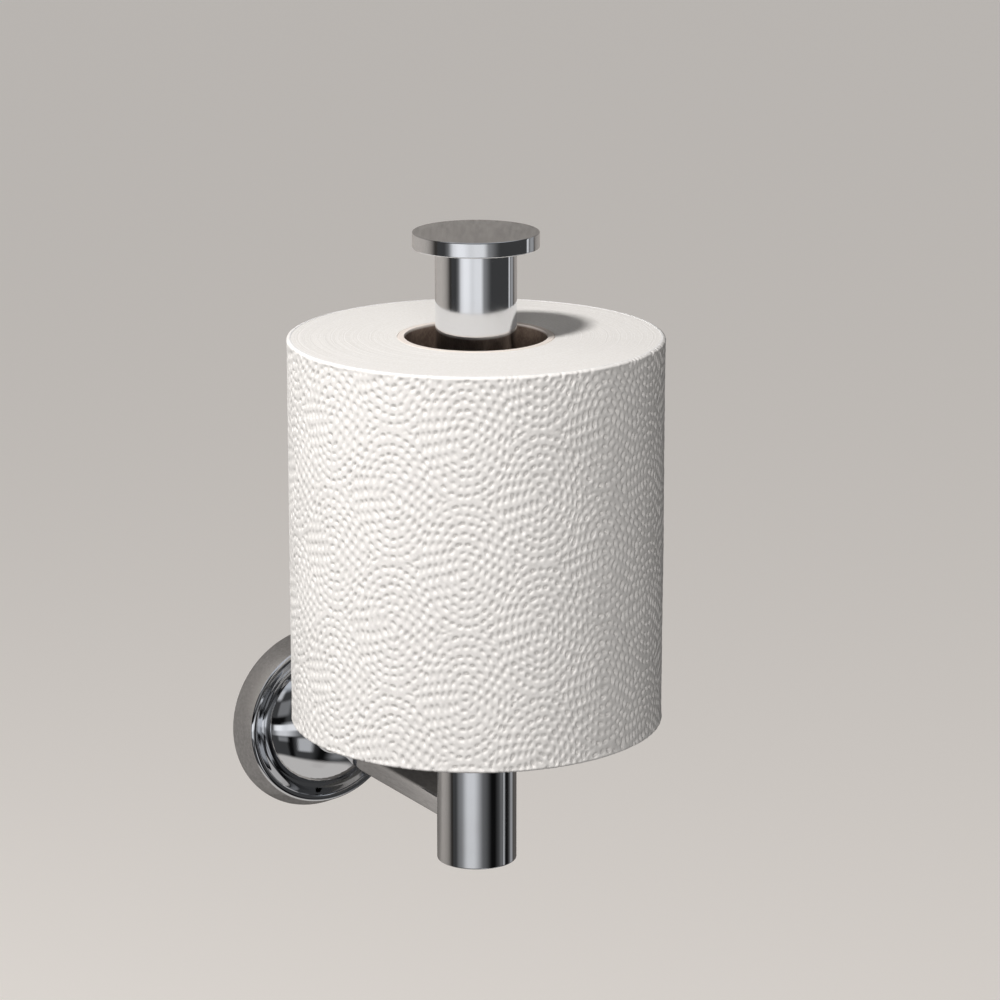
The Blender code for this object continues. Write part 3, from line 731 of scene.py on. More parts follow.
def rosette_outline():
    lip = arc((LIP_RADIUS, LIP_CREST - LIP_ROUND), LIP_ROUND, 25, 150, 12)
    rim = [(ROSETTE_RADIUS, 0.8 * MM)]
    start = lip[-1]
    cove = []
    for i in range(1, COVE_STEPS + 1):
        share = i / COVE_STEPS
        drop = math.sin(share * math.pi / 2)
        cove.append((start[0] + (TROUGH[0] - start[0]) * share, start[1] + (TROUGH[1] - start[1]) * drop))
    inside = DOME_RADIUS - 1.2 * MM
    base = softened([(PLATE_RADIUS + 0.3 * MM, 0), (ROSETTE_RADIUS, 0), *rim, lip[0]], 0.25 * MM)
    shelf = [(DOME_RADIUS + 0.04 * MM, 4.6 * MM), (inside, 4.6 * MM), (inside, RECESS)]
    return supported([*base[:-1], *lip, *cove, *shelf, (PLATE_RADIUS + 0.3 * MM, RECESS)])


finished(
    "rosette_chrome",
    to_mesh("rosette_chrome", spin(rosette_outline()), OUT_OF_WALL),
    CHROME,
    "holder",
    "polished_chrome",
    "rosette",
)

# %% [markdown]
# ## The domed boss
# The dome slides over the plate's spigot, and a small grub screw under it locks it there. Its
# outline is part of an ellipse that runs into a short neck, where the arm begins.

# %% Domed boss

DOME_BASE, DOME_HEIGHT = 5.0 * MM, 9.8 * MM
NECK_RADIUS = 6.8 * MM
NECK_TOP = -low_high("arm_boss", 1)[0]
BORE, BORE_END = 8.8 * MM, 9.3 * MM
GRUB_OUT = 6.4 * MM
GRUB_HOLE = 1.56 * MM


def dome_outline():
    last = math.acos((NECK_RADIUS + 1.6 * MM) / DOME_RADIUS)
    steps = 40
    turns = [last * i / steps for i in range(steps + 1)]
    dome = [(DOME_RADIUS * math.cos(a), DOME_BASE + DOME_HEIGHT * math.sin(a)) for a in turns]
    end = Vector(dome[-1])
    low, top = Vector((NECK_RADIUS + 0.25 * MM, end.y + 0.15 * MM)), Vector((NECK_RADIUS, NECK_TOP))
    sweep = []
    for i in range(1, 9):
        s = i / 8
        sweep.append(tuple(end * (1 - s) ** 2 + low * 2 * s * (1 - s) + top * s**2))
    inside = DOME_RADIUS - 1.5 * MM
    rear = [(BORE, BORE_END), (BORE, 3.6 * MM), (inside, 3.6 * MM), (inside, DOME_BASE - 0.05 * MM)]
    shaft = 4.6 * MM
    front = [(2.8 * MM, NECK_TOP), (2.8 * MM, BORE_END + 2.9 * MM), (shaft, BORE_END + 2.9 * MM), (shaft, BORE_END)]
    return supported([*rear, *dome, *sweep, *front])


DOWN = Matrix.Translation((0, -GRUB_OUT, 0)) @ Matrix.Rotation(math.pi, 4, "X")
dome = to_mesh("boss_dome", spin(dome_outline()), OUT_OF_WALL)
dome = carve(dome, placed(rod(GRUB_HOLE, 4 * MM, DOME_RADIUS + 2 * MM), DOWN))
finished("boss_chrome", dome, CHROME, "holder", "polished_chrome", "arm_boss")

# %% [markdown]
# ## The arm
# A bar that is round where it leaves the dome and flattens out as it nears the post. It is a
# loft: one closed outline is worked out at each distance from the wall and joined to the next.
# The last outline lies on the post's own surface, so the arm meets the tube along a clean curve.

# %% Arm

ARM_WIDTH, ARM_THICKNESS, ARM_EDGE = 20.8 * MM, 5.6 * MM, 1.5 * MM
ARM_ROOT, ARM_NECK_END, ARM_FLAT_FROM = NECK_TOP + 0.3 * MM, 24.0 * MM, 48.0 * MM
CORNER_STEPS = 8
JOIN_GAP = 0.02 * MM


def ease(value, start, end):
    share = min(max((value - start) / (end - start), 0.0), 1.0)
    return share * share * (3 - 2 * share)


def arm_section(distance):
    """The arm's outline across, at a distance from the wall."""
    neck = NECK_RADIUS - 0.3 * MM
    share = ease(distance, ARM_NECK_END, ARM_FLAT_FROM)
    half_x = neck + (ARM_WIDTH / 2 - neck) * share
    half_z = neck + (ARM_THICKNESS / 2 - neck) * share
    corner = min(neck + (ARM_EDGE - neck) * share, half_z - 0.02 * MM, half_x - 0.02 * MM)
    points = []
    for quarter, (sx, sz) in enumerate(((1, 1), (-1, 1), (-1, -1), (1, -1))):
        for i in range(CORNER_STEPS + 1):
            a = math.pi / 2 * (quarter + i / CORNER_STEPS)
            points.append((sx * (half_x - corner) + corner * math.cos(a), sz * (half_z - corner) + corner * math.sin(a)))
    return points


def arm_mesh():
    work = bmesh.new()
    steps = 44
    reach = -POST_Y - POST_RADIUS - JOIN_GAP
    distances = [ARM_ROOT, ARM_ROOT + 0.05 * MM]
    distances += [ARM_NECK_END + (ARM_FLAT_FROM - ARM_NECK_END) * i / steps for i in range(steps + 1)]
    distances += [(ARM_FLAT_FROM + reach) / 2, reach - 0.3 * MM]
    loops = [[work.verts.new((x, -d, z)) for x, z in arm_section(d)] for d in distances]
    saddle = POST_RADIUS + JOIN_GAP
    end = []
    for x, z in arm_section(reach):
        end.append(work.verts.new((x, POST_Y + math.sqrt(max(saddle**2 - x * x, 0.0)), z)))
    loops.append(end)
    count = len(end)
    for near, far in zip(loops[:-1], loops[1:]):
        for i in range(count):
            j = (i + 1) % count
            work.faces.new((near[i], near[j], far[j], far[i]))
    work.faces.new(loops[0])
    top = [v for v in end]
    half = count // 2
    for i in range(half - 1):
        a, b = top[i], top[i + 1]
        c, d = top[count - 2 - i], top[count - 1 - i]
        if len({a, b, c, d}) == 4:
            work.faces.new((a, b, c, d))
    return to_mesh("arm_chrome", work, sharp=40)


finished("arm_chrome", arm_mesh(), CHROME, "holder", "polished_chrome", "arm")

# %% [markdown]
# ## Post, cap and foot plug
# The post is a polished tube with softened ends. The cap is a thin disc with crisp, slightly
# broken edges, on a spigot that plugs the tube. A plug closes the tube's foot.

# %% Post, cap and foot plug

TUBE_BORE = POST_RADIUS - 1.5 * MM
CAP_LOW = TUBE_HIGH + 0.3 * MM
SPIGOT_LOW = low_high("cap", 2)[0]
SPIGOT_RADIUS = TUBE_BORE - 0.3 * MM
ROD_HOLE = 2.8 * MM

tube = softened(
    [
        (TUBE_BORE, (TUBE_LOW + TUBE_HIGH) / 2),
        (TUBE_BORE, TUBE_LOW),
        (POST_RADIUS, TUBE_LOW),
        (POST_RADIUS, TUBE_HIGH),
        (TUBE_BORE, TUBE_HIGH),
        (TUBE_BORE, (TUBE_LOW + TUBE_HIGH) / 2 + 1 * MM),
    ],
    0.35 * MM,
)
finished(
    "post_chrome",
    to_mesh("post_chrome", spin(supported(tube)), POST),
    CHROME,
    "holder",
    "polished_chrome",
    "post_tube",
)
GROOVE = (SPIGOT_RADIUS - 1.3 * MM, CAP_LOW - 3.4 * MM, CAP_LOW - 1.4 * MM)
cap = [
    (0, CAP_TOP),
    *softened([(1 * MM, CAP_TOP), (CAP_RADIUS, CAP_TOP), (CAP_RADIUS, CAP_LOW), (SPIGOT_RADIUS, CAP_LOW)], 0.35 * MM),
    (SPIGOT_RADIUS, GROOVE[2]),
    (GROOVE[0], GROOVE[2]),
    (GROOVE[0], GROOVE[1]),
    (SPIGOT_RADIUS, GROOVE[1]),
    (SPIGOT_RADIUS, SPIGOT_LOW),
    (ROD_HOLE, SPIGOT_LOW),
    (ROD_HOLE, CAP_LOW + 1.8 * MM),
    (0, CAP_LOW + 1.8 * MM),
]
finished(
    "cap_chrome", to_mesh("cap_chrome", spin(supported(cap)), POST), CHROME, "holder", "polished_chrome", "cap"
)
plug_low, plug_high = low_high("foot_plug", 2)
plug_side = [(1 * MM, plug_low), (SPIGOT_RADIUS, plug_low), (SPIGOT_RADIUS, plug_high), (1 * MM, plug_high)]
plug = [(0, plug_low), *softened(plug_side, 0.3 * MM), (0, plug_high)]
finished(
    "foot_plug_chrome",
    to_mesh("foot_plug_chrome", spin(supported(plug), 128), POST),
    CHROME,
    "holder",
    "polished_chrome",
    "foot_plug",
)

# %% [markdown]
# ## What the roll stands on
# A chromed disc carries the roll. It turns with its nylon bush on a slip washer, above a collar
# that a grub screw fixes to the post. All four are rings, so one helper turns them from their
# inner and outer radius and their heights.

# %% Disc, bush, washer and collar


def ring_mesh(name, node, inner, edge, segments=192):
    """A ring with soft edges, as high and wide as its CAD node."""
    low, high = low_high(node, 2)
    outer = low_high(node, 0)[1] - POST_X
    middle = (low + high) / 2
    corners = [(inner, middle), (inner, low), (outer, low), (outer, high), (inner, high), (inner, middle + 0.1 * MM)]
    return to_mesh(name, spin(supported(softened(corners, edge)), segments), POST)


RUNNING = POST_RADIUS + 0.3 * MM
BUSH_OUTER = RUNNING + 2.7 * MM
finished(
    "rest_disc_chrome",
    ring_mesh("rest_disc_chrome", "rest_disc", BUSH_OUTER + 0.3 * MM, 0.5 * MM, 256),
    CHROME,
    "turning_rest",
    "polished_chrome",
    "rest_disc",
)
finished(
    "slip_washer_nylon",
    ring_mesh("slip_washer_nylon", "slip_washer", RUNNING, 0.15 * MM),
    WHITE_NYLON,
    "holder",
    "white_nylon",
    "slip_washer",
)
bush_low, bush_high = low_high("rest_bush", 2)
flange_top = bush_low + 1.0 * MM
flange_radius = low_high("rest_bush", 0)[1] - POST_X
bush = softened(
    [
        (RUNNING, (bush_low + bush_high) / 2),
        (RUNNING, bush_low),
        (flange_radius, bush_low),
        (flange_radius, flange_top),
        (BUSH_OUTER, flange_top),
        (BUSH_OUTER, bush_high),
        (RUNNING, bush_high),
        (RUNNING, (bush_low + bush_high) / 2 + 0.1 * MM),
    ],
    0.2 * MM,
)
finished(
    "rest_bush_nylon",
    to_mesh("rest_bush_nylon", spin(supported(bush), 192), POST),
    WHITE_NYLON,
    "turning_rest",
    "white_nylon",
    "rest_bush",
)
collar_low, collar_high = low_high("rest_collar", 2)
TO_WALL = POST @ Matrix.Translation((0, 0, (collar_low + collar_high) / 2)) @ Matrix.Rotation(-math.pi / 2, 4, "X")
collar = ring_mesh("rest_collar_chrome", "rest_collar", RUNNING, 0.4 * MM, 256)
collar = carve(collar, placed(rod(GRUB_HOLE, POST_RADIUS - 1 * MM, 20 * MM), TO_WALL))
finished("rest_collar_chrome", collar, CHROME, "holder", "polished_chrome", "rest_collar")

# %% [markdown]
# ## The roll's embossed wrap
# Toilet tissue is pressed between patterned rollers, and this pattern is a staggered set of oval
# medallions, each made of rings of small pits. Painting it on with bump would leave the outline
# of the roll smooth, so the pits are real: a fine grid is bent round the roll, and every point
# sinks by the depth of the pattern there. The pattern is a rule, so Geometry Nodes work it out.
# For each point they find the nearer medallion centre, then the ring it is in, then the pit along
# that ring. The wrap comes in three sectors, so that no mesh grows too large to handle.

# %% Geometry Nodes: embossed wrap


def embossed_wrap_tree():
    tree, take, end = new_group(
        "embossed wrap",
        "GeometryNodeTree",
        [
            ("Radius", FLOAT, 0.05),
            ("Height", FLOAT, 0.1),
            ("Bottom", FLOAT, 0.0),
            ("Axis X", FLOAT, 0.0),
            ("Axis Y", FLOAT, 0.0),
            ("Start", FLOAT, 0.0),
            ("Middle Turn", FLOAT, 0.0),
            ("Sector Turn", FLOAT, 2.0),
            ("Columns", INTEGER, 100),
            ("Rows", INTEGER, 100),
            ("Column Step", FLOAT, 0.0205),
            ("Row Step", FLOAT, 0.036),
            ("Column Shift", FLOAT, 0.0),
            ("Row Shift", FLOAT, 0.0),
            ("Oval Half Width", FLOAT, 0.0123),
            ("Oval Half Height", FLOAT, 0.018),
            ("Rings", FLOAT, 7.0),
            ("Pit Step", FLOAT, 0.0028),
            ("Pit Half Width", FLOAT, 0.00095),
            ("Pit Half Height", FLOAT, 0.00052),
            ("Pit Depth", FLOAT, 0.00042),
            ("Pillow Height", FLOAT, 0.00010),
            ("Edge Round", FLOAT, 0.0009),
            ("Material", MATERIAL, None),
        ],
        [("Geometry", GEOMETRY)],
    )
    wide, high = take["Radius"] * take["Sector Turn"], take["Height"]
    grid = put(
        tree,
        "GeometryNodeMeshGrid",
        {"Size X": wide, "Size Y": high, "Vertices X": take["Columns"], "Vertices Y": take["Rows"]},
    )
    spot = put(tree, "ShaderNodeSeparateXYZ", {0: out(put(tree, "GeometryNodeInputPosition"))})
    along = out(spot, "X") + take["Middle Turn"] * take["Radius"]
    up = out(spot, "Y") + high / 2
    angle = take["Start"] + along / take["Radius"]
    cosine, sine = angle.math("COSINE"), angle.math("SINE")
    on_roll = combine(tree, take["Radius"] * cosine, take["Radius"] * sine, up)

    def noise(scale, detail=2.0, output="Fac"):
        made = put(tree, "ShaderNodeTexNoise", {"Vector": on_roll, "Scale": scale, "Detail": detail})
        return out(made, output)

    wander = put(tree, "ShaderNodeSeparateXYZ", {0: noise(150.0, 2.0, "Color")})
    s = along + (out(wander, "X") - 0.5) * 0.0024
    z = up + (out(wander, "Y") - 0.5) * 0.0024

    def medallion(columns, rows):
        """Place in the nearest oval of one set, as shares of its half width and half height."""
        dx = (s - take["Column Shift"] - take["Column Step"] * columns).math(
            "WRAP", take["Column Step"], take["Column Step"] * -1
        )
        dz = (z - take["Row Shift"] - take["Row Step"] * rows).math("WRAP", take["Row Step"] / 2, take["Row Step"] / -2)
        return dx / take["Oval Half Width"], dz / take["Oval Half Height"]

    first, second = medallion(0.0, 0.0), medallion(1.0, 0.5)
    near = hypot(*first).math("GREATER_THAN", hypot(*second))
    ex, ez = blend(first[0], second[0], near), blend(first[1], second[1], near)
    reach = hypot(ex, ez).math("MAXIMUM", 0.001)
    step = reach * take["Rings"]
    ring, across = step.math("FLOOR"), step.math("FRACT") - 0.5
    true_reach = hypot(ex * take["Oval Half Width"], ez * take["Oval Half Height"])
    across_size = across * true_reach / step
    mean = hypot(take["Oval Half Width"], take["Oval Half Height"]) * math.sqrt(0.5)
    count = ((ring + 0.5) / take["Rings"] * mean * (2 * math.pi) / take["Pit Step"]).math("ROUND")
    turn = ez.math("ARCTAN2", ex) / (2 * math.pi) * count + ring * 0.37 + near * 0.21
    along_size = (turn.math("FRACT") - 0.5) * take["Pit Step"]
    chance = put(tree, "ShaderNodeTexWhiteNoise", {"Vector": combine(tree, ring, turn.math("FLOOR"), near)})
    depth = take["Pit Depth"] * (0.45 + out(chance, "Value") * 0.9)
    inside = 1.0 - hypot(along_size / take["Pit Half Width"], across_size / take["Pit Half Height"])
    pit = inside.smooth(-0.15, 0.5)
    low_a, low_b = (along_size / take["Pit Step"] * math.pi).math("COSINE"), (across * math.pi).math("COSINE")
    pillow = low_a * low_a * low_b * low_b
    crinkle = (noise(900.0) - 0.5) * 0.00007 + (noise(330.0, 1.0) - 0.5) * 0.00028
    swell = noise(26.0, 1.0) * 0.0004

    to_edge = up.math("MINIMUM", high - up)
    short = (1.0 - to_edge / take["Edge Round"]).math("MAXIMUM", 0.0)
    rounding = take["Edge Round"] * (1.0 - (1.0 - short * short).math("MAXIMUM", 0.0).math("SQRT"))
    quiet = 0.45 + to_edge.smooth(0.0, 0.0015) * 0.55
    sunk = rounding + (depth * pit + pillow * take["Pillow Height"] + (crinkle + 0.00024) + swell) * quiet
    radius = take["Radius"] - sunk
    bent = combine(tree, take["Axis X"] + radius * cosine, take["Axis Y"] + radius * sine, take["Bottom"] + up)
    moved = put(tree, "GeometryNodeSetPosition", {"Geometry": out(grid), "Position": bent})
    real = put(tree, "GeometryNodeRealizeInstances", {"Geometry": out(moved)})
    coated = put(tree, "GeometryNodeSetMaterial", {"Geometry": out(real), "Material": take["Material"]})
    feed(tree, end.inputs["Geometry"], out(coated))
    return tree


WRAP = embossed_wrap_tree()
print("Geometry Nodes tree:", WRAP.name, "with", len(WRAP.nodes), "nodes")

# %% Roll: three sectors of the wrap

FACING = math.radians(-120.0)  # the side of the roll that the viewer sees
SECTORS = 3
GRID_STEP = 0.365 * MM
SHELL_DEPTH = 1.5 * MM
INNER_COLUMNS = 24
MEDALLION_COLUMNS = 16
ROW_STEP = 36.0 * MM


def close_wrap(mesh, columns, rows, start, sector):
    """Close the grid into a thin curved slab: a plain inner face, and walls on all four sides."""
    work = bmesh.new()
    work.from_mesh(mesh)
    work.verts.ensure_lookup_table()
    outer = [[work.verts[i * rows + j] for j in range(rows)] for i in range(columns)]
    inner = {}
    deep = ROLL_RADIUS - SHELL_DEPTH
    for k in range(INNER_COLUMNS + 1):
        a = start + sector * k / INNER_COLUMNS
        for level, height in (("low", ROLL_LOW), ("high", ROLL_HIGH)):
            inner[k, level] = work.verts.new((ROLL_X + deep * math.cos(a), ROLL_Y + deep * math.sin(a), height))
    edges = [round((columns - 1) * k / INNER_COLUMNS) for k in range(INNER_COLUMNS + 1)]
    made = []
    for k in range(INNER_COLUMNS):
        made.append(work.faces.new([inner[k, "low"], inner[k, "high"], inner[k + 1, "high"], inner[k + 1, "low"]]))
        span = range(edges[k], edges[k + 1] + 1)
        made.append(work.faces.new([outer[i][-1] for i in span] + [inner[k + 1, "high"], inner[k, "high"]]))
        made.append(work.faces.new([outer[i][0] for i in reversed(span)] + [inner[k, "low"], inner[k + 1, "low"]]))
    last = INNER_COLUMNS
    made.append(work.faces.new(outer[0][::-1] + [inner[0, "low"], inner[0, "high"]]))
    made.append(work.faces.new(outer[-1] + [inner[last, "high"], inner[last, "low"]]))
    bmesh.ops.recalc_face_normals(work, faces=work.faces)
    for face in work.faces:
        face.smooth = True
    for face in made:
        face.smooth = False
        for edge in face.edges:
            edge.smooth = False
    work.to_mesh(mesh)
    work.free()
    return mesh


sector = 2 * math.pi / SECTORS
columns = round(ROLL_RADIUS * sector / GRID_STEP) + 1
rows = round((ROLL_HIGH - ROLL_LOW) / GRID_STEP) + 1
for number in range(SECTORS):
    middle = sector * (number if number < 2 else -1)
    wrap = grow(
        WRAP,
        Radius=ROLL_RADIUS,
        Height=ROLL_HIGH - ROLL_LOW,
        Bottom=ROLL_LOW,
        Axis_X=ROLL_X,
        Axis_Y=ROLL_Y,
        Start=FACING,
        Middle_Turn=middle,
        Sector_Turn=sector,
        Columns=columns,
        Rows=rows,
        Column_Step=2 * math.pi * ROLL_RADIUS / MEDALLION_COLUMNS,
        Row_Step=ROW_STEP,
        Column_Shift=-3.0 * MM,
        Row_Shift=84.0 * MM - ROLL_LOW,
        Material=TISSUE,
    )
    wrap = close_wrap(wrap, columns, rows, FACING + middle - sector / 2, sector)
    name = f"roll_wrap_{number + 1}"
    wrap.name = name
    finished(name, wrap, None, "roll", "tissue_paper", "paper_roll")
    print(f"  {2 * (columns - 1) * (rows - 1)} triangles on its face")

# %% [markdown]
# ## The wound paper and its core
# Under the wrap lies the wound paper. Only its two ends are seen: hundreds of cut edges, pressed
# flat, with a few turns standing slightly proud. The ends are turned with many rings, and each
# ring's height follows slow waves, so that light grazing the end shows the winding. The core is a
# tube wound from two strips of board, and its seam climbs the bore as a helix.

# %% Wound paper

WOUND_RADIUS = ROLL_RADIUS - SHELL_DEPTH - 0.01 * MM
PAPER_BORE = CORE_RADIUS + 0.05 * MM
TURN_COUNT = 56
WINDING_SEGMENTS = 192


def wound_height(radius, angle, seed):
    """How far the end of the roll dips at a place: slow rings that drift into a spiral."""
    turn = radius / (0.55 * MM) + angle / (2 * math.pi)
    slow = math.sin(turn * 1.7 + seed) * 0.5 + math.sin(turn * 0.61 + seed * 2.3) * 0.5
    wave = math.sin(3 * angle + seed + radius / (9 * MM)) * 0.35
    return (0.05 + 0.05 * slow * (0.6 + wave)) * MM


def wound_paper():
    work = bmesh.new()
    radii = [PAPER_BORE + (WOUND_RADIUS - PAPER_BORE) * i / TURN_COUNT for i in range(TURN_COUNT + 1)]
    loops = []
    for side, base, seed in ((1, ROLL_HIGH, 0.7), (-1, ROLL_LOW, 2.9)):
        for radius in radii if side == 1 else reversed(radii):
            ring = []
            for k in range(WINDING_SEGMENTS):
                a = 2 * math.pi * k / WINDING_SEGMENTS
                dip = wound_height(radius, a, seed)
                ring.append(work.verts.new((radius * math.cos(a), radius * math.sin(a), base - side * dip)))
            loops.append(ring)
    for near, far in zip(loops, loops[1:] + loops[:1]):
        for k in range(WINDING_SEGMENTS):
            j = (k + 1) % WINDING_SEGMENTS
            work.faces.new((near[k], near[j], far[j], far[k]))
    return to_mesh("roll_wound_paper", work, ROLL)


finished("roll_wound_paper", wound_paper(), TISSUE_EDGES, "roll", "tissue_paper", "paper_roll")

# %% Cardboard core

CORE_WALL = 2.1 * MM
CORE_BORE = CORE_RADIUS - CORE_WALL
SEAM_CLIMB = 78.0 * MM
SEAM_WIDTH = 0.9 * MM
SEAM_DEPTH = 0.22 * MM
CORE_ROWS = 110
CORE_SEGMENTS = 180


def core_mesh():
    """A tube whose bore has the stepped seam of a spiral-wound strip."""
    work = bmesh.new()
    edge = 0.25 * MM
    bore, face = [], []
    for j in range(CORE_ROWS + 1):
        height = ROLL_LOW + (ROLL_HIGH - ROLL_LOW) * j / CORE_ROWS
        ring = []
        for k in range(CORE_SEGMENTS):
            a = 2 * math.pi * k / CORE_SEGMENTS
            climb = (a / (2 * math.pi) - height / SEAM_CLIMB) % 1.0
            away = min(climb, 1 - climb) * 2 * math.pi * CORE_BORE
            radius = CORE_BORE + 0.02 * MM + SEAM_DEPTH * math.exp(-((away / SEAM_WIDTH) ** 2))
            ring.append(work.verts.new((radius * math.cos(a), radius * math.sin(a), height)))
        bore.append(ring)
    for radius, height in (
        (CORE_BORE + edge, ROLL_HIGH),
        (CORE_RADIUS - edge, ROLL_HIGH),
        (CORE_RADIUS, ROLL_HIGH - edge),
        (CORE_RADIUS, ROLL_LOW + edge),
        (CORE_RADIUS - edge, ROLL_LOW),
        (CORE_BORE + edge, ROLL_LOW),
    ):
        turns = [2 * math.pi * k / CORE_SEGMENTS for k in range(CORE_SEGMENTS)]
        face.append([work.verts.new((radius * math.cos(a), radius * math.sin(a), height)) for a in turns])
    loops = bore[1:-1] + face
    for ring in (bore[0], bore[-1]):
        bmesh.ops.delete(work, geom=ring, context="VERTS")
    for near, far in zip(loops, loops[1:] + loops[:1]):
        for k in range(CORE_SEGMENTS):
            j = (k + 1) % CORE_SEGMENTS
            work.faces.new((near[k], near[j], far[j], far[k]))
    return to_mesh("roll_core_card", work, ROLL)


finished("roll_core_card", core_mesh(), CARD, "roll", "core_cardboard", "roll_core")

# %% [markdown]
# ## Behind the rosette
# The zinc plate carries the load. Two countersunk screws hold it, each in a ribbed nylon plug.
# None of it shows from the front, but a holder can be seen from behind when it isn't on a wall.
# The plate is turned and drilled; threads and ribs come from the Geometry Nodes tree above.

# %% Wall plate

PLATE_THICKNESS = 3.0 * MM
PLATE_SPIGOT = 8.5 * MM
SPIGOT_END = -low_high("wall_plate", 1)[0]
SCREW_X = sum(low_high("wall_screw_2", 0)) / 2
SCREW_RADIUS, HEAD_RADIUS = 1.75 * MM, low_high("wall_screw_2", 0)[1] - SCREW_X
HEAD_TOP, SCREW_TIP = -low_high("wall_screw_2", 1)[0], -low_high("wall_screw_2", 1)[1]
plate = softened(
    [
        (1 * MM, 0),
        (PLATE_RADIUS, 0),
        (PLATE_RADIUS, PLATE_THICKNESS),
        (PLATE_SPIGOT, PLATE_THICKNESS),
        (PLATE_SPIGOT, GRUB_OUT - 1.8 * MM),
        (PLATE_SPIGOT - 1 * MM, GRUB_OUT - 1.8 * MM),
        (PLATE_SPIGOT - 1 * MM, GRUB_OUT + 1.8 * MM),
        (PLATE_SPIGOT, GRUB_OUT + 1.8 * MM),
        (PLATE_SPIGOT, SPIGOT_END),
        (1 * MM, SPIGOT_END),
    ],
    0.2 * MM,
    3,
)
plate = to_mesh("wall_plate_zinc", spin(supported([(0, 0), *plate, (0, SPIGOT_END)]), 128), OUT_OF_WALL)


def screw_hole(x):
    """A clearance hole with a countersink, as a cutter."""
    hole, sink = SCREW_RADIUS + 0.4 * MM, HEAD_RADIUS + 0.45 * MM
    start = PLATE_THICKNESS - (sink - hole)
    outline = [(0, -2 * MM), (hole, -2 * MM), (hole, start), (sink, PLATE_THICKNESS)]
    outline += [(sink, PLATE_THICKNESS + 2 * MM), (0, PLATE_THICKNESS + 2 * MM)]
    return placed(spin(outline, 64), Matrix.Translation((x, 0, 0)) @ OUT_OF_WALL)


plate = carve(plate, screw_hole(-SCREW_X), screw_hole(SCREW_X))
finished("wall_plate_zinc", plate, ZINC, "holder", "zinc_casting", "wall_plate")

# %% Wall screws and plugs


def cross_recess(radius, top, depth):
    """Two crossed bars, as cutters for a screw's head."""
    half = 0.45 * MM
    return [block((-radius, -half, top - depth), (radius, half, top + 1 * MM), turn) for turn in (0, math.pi / 2)]


def wall_screw(name, x):
    place = Matrix.Translation((x, 0, 0)) @ OUT_OF_WALL
    slope = HEAD_RADIUS - SCREW_RADIUS
    rim = HEAD_TOP - 0.25 * MM
    outline = [(0, rim - slope - 1 * MM), (SCREW_RADIUS * 0.98, rim - slope - 1 * MM), (SCREW_RADIUS * 0.98, rim - slope)]
    outline += [(HEAD_RADIUS, rim), (HEAD_RADIUS, HEAD_TOP), (0, HEAD_TOP)]
    head = carve(to_mesh("head", spin(supported(outline), 64)), *cross_recess(0.6 * HEAD_RADIUS, HEAD_TOP, 1.6 * MM))
    head.transform(place)
    low = SCREW_TIP
    shank = thread_work(
        place @ Matrix.Translation((0, 0, low)),
        Core_Radius=SCREW_RADIUS * 0.72,
        Tooth_Height=SCREW_RADIUS * 0.28,
        Pitch=1.5 * MM,
        Length=rim - slope - low,
        Tip_Length=4.0 * MM,
        Plain_Length=0.2 * MM,
        Rows=240,
        Material=STEEL,
    )
    return join(name, head, shank)


def wall_plug(name, x, node):
    """A ribbed plug with a thin collar at the wall."""
    near, far = low_high(node, 1)
    collar = low_high(node, 0)[1] - x
    place = Matrix.Translation((x, 0, 0)) @ OUT_OF_WALL
    ribs = thread_work(
        place @ Matrix.Translation((0, 0, -far)),
        Core_Radius=2.2 * MM,
        Tooth_Height=0.4 * MM,
        Pitch=2.4 * MM,
        Length=far - near - 0.5 * MM,
        Tip_Length=2.0 * MM,
        Advance=0.0,
        Rows=200,
        Material=PLUG_NYLON,
    )
    low, high = -near - 1.0 * MM, -near
    hole = SCREW_RADIUS + 0.3 * MM
    corners = [(hole, (low + high) / 2), (hole, low), (collar, low), (collar, high), (hole, high)]
    rim = spin(supported(softened([*corners, (hole, (low + high) / 2 + 0.05 * MM)], 0.2 * MM)), 64)
    return join(name, ribs, to_mesh("rim", rim, place))


for number, x in ((1, -SCREW_X), (2, SCREW_X)):
    name = f"wall_screw_{number}_steel"
    finished(name, wall_screw(name, x), STEEL, "holder", "screw_steel", f"wall_screw_{number}")
    name = f"wall_plug_{number}_nylon"
    node = f"wall_plug_{number}"
    finished(name, wall_plug(name, x, node), PLUG_NYLON, "holder", "plug_nylon", node)

# %% [markdown]
# ## Grub screws
# Two headless screws with a hex socket: one under the dome, one in the collar on the wall side.

# %% Grub screws


def grub_screw(name, place, low, high, radius=1.5 * MM):
    """A short threaded pin with a hex socket in its end."""
    core = radius * 0.82
    body = to_mesh("core", spin(supported(softened([(0, low), (core, low), (core, high), (0, high)], 0.2 * MM)), 48))
    hole = radius * 0.55
    socket = spin([(0, high - 1.6 * MM), (hole, high - 1.6 * MM), (hole, high + 1 * MM), (0, high + 1 * MM)], 6)
    body = carve(body, socket)
    body.transform(place)
    edge = 0.3 * MM
    ridge = thread_work(
        place @ Matrix.Translation((0, 0, low + edge)),
        Core_Radius=core * 0.98,
        Tooth_Height=radius - core,
        Pitch=0.5 * MM,
        Length=high - low - 2.0 * MM,
        Tip_Length=0.3 * MM,
        Rows=100,
        Material=STEEL,
    )
    return join(name, body, ridge)


low, high = low_high("boss_grub_screw", 2)
finished(
    "boss_grub_steel",
    grub_screw("boss_grub_steel", DOWN, -high, -low),
    STEEL,
    "holder",
    "screw_steel",
    "boss_grub_screw",
)
near, far = low_high("collar_grub_screw", 1)
finished(
    "collar_grub_steel",
    grub_screw("collar_grub_steel", TO_WALL, near - POST_Y, far - POST_Y),
    STEEL,
    "holder",
    "screw_steel",
    "collar_grub_screw",
)

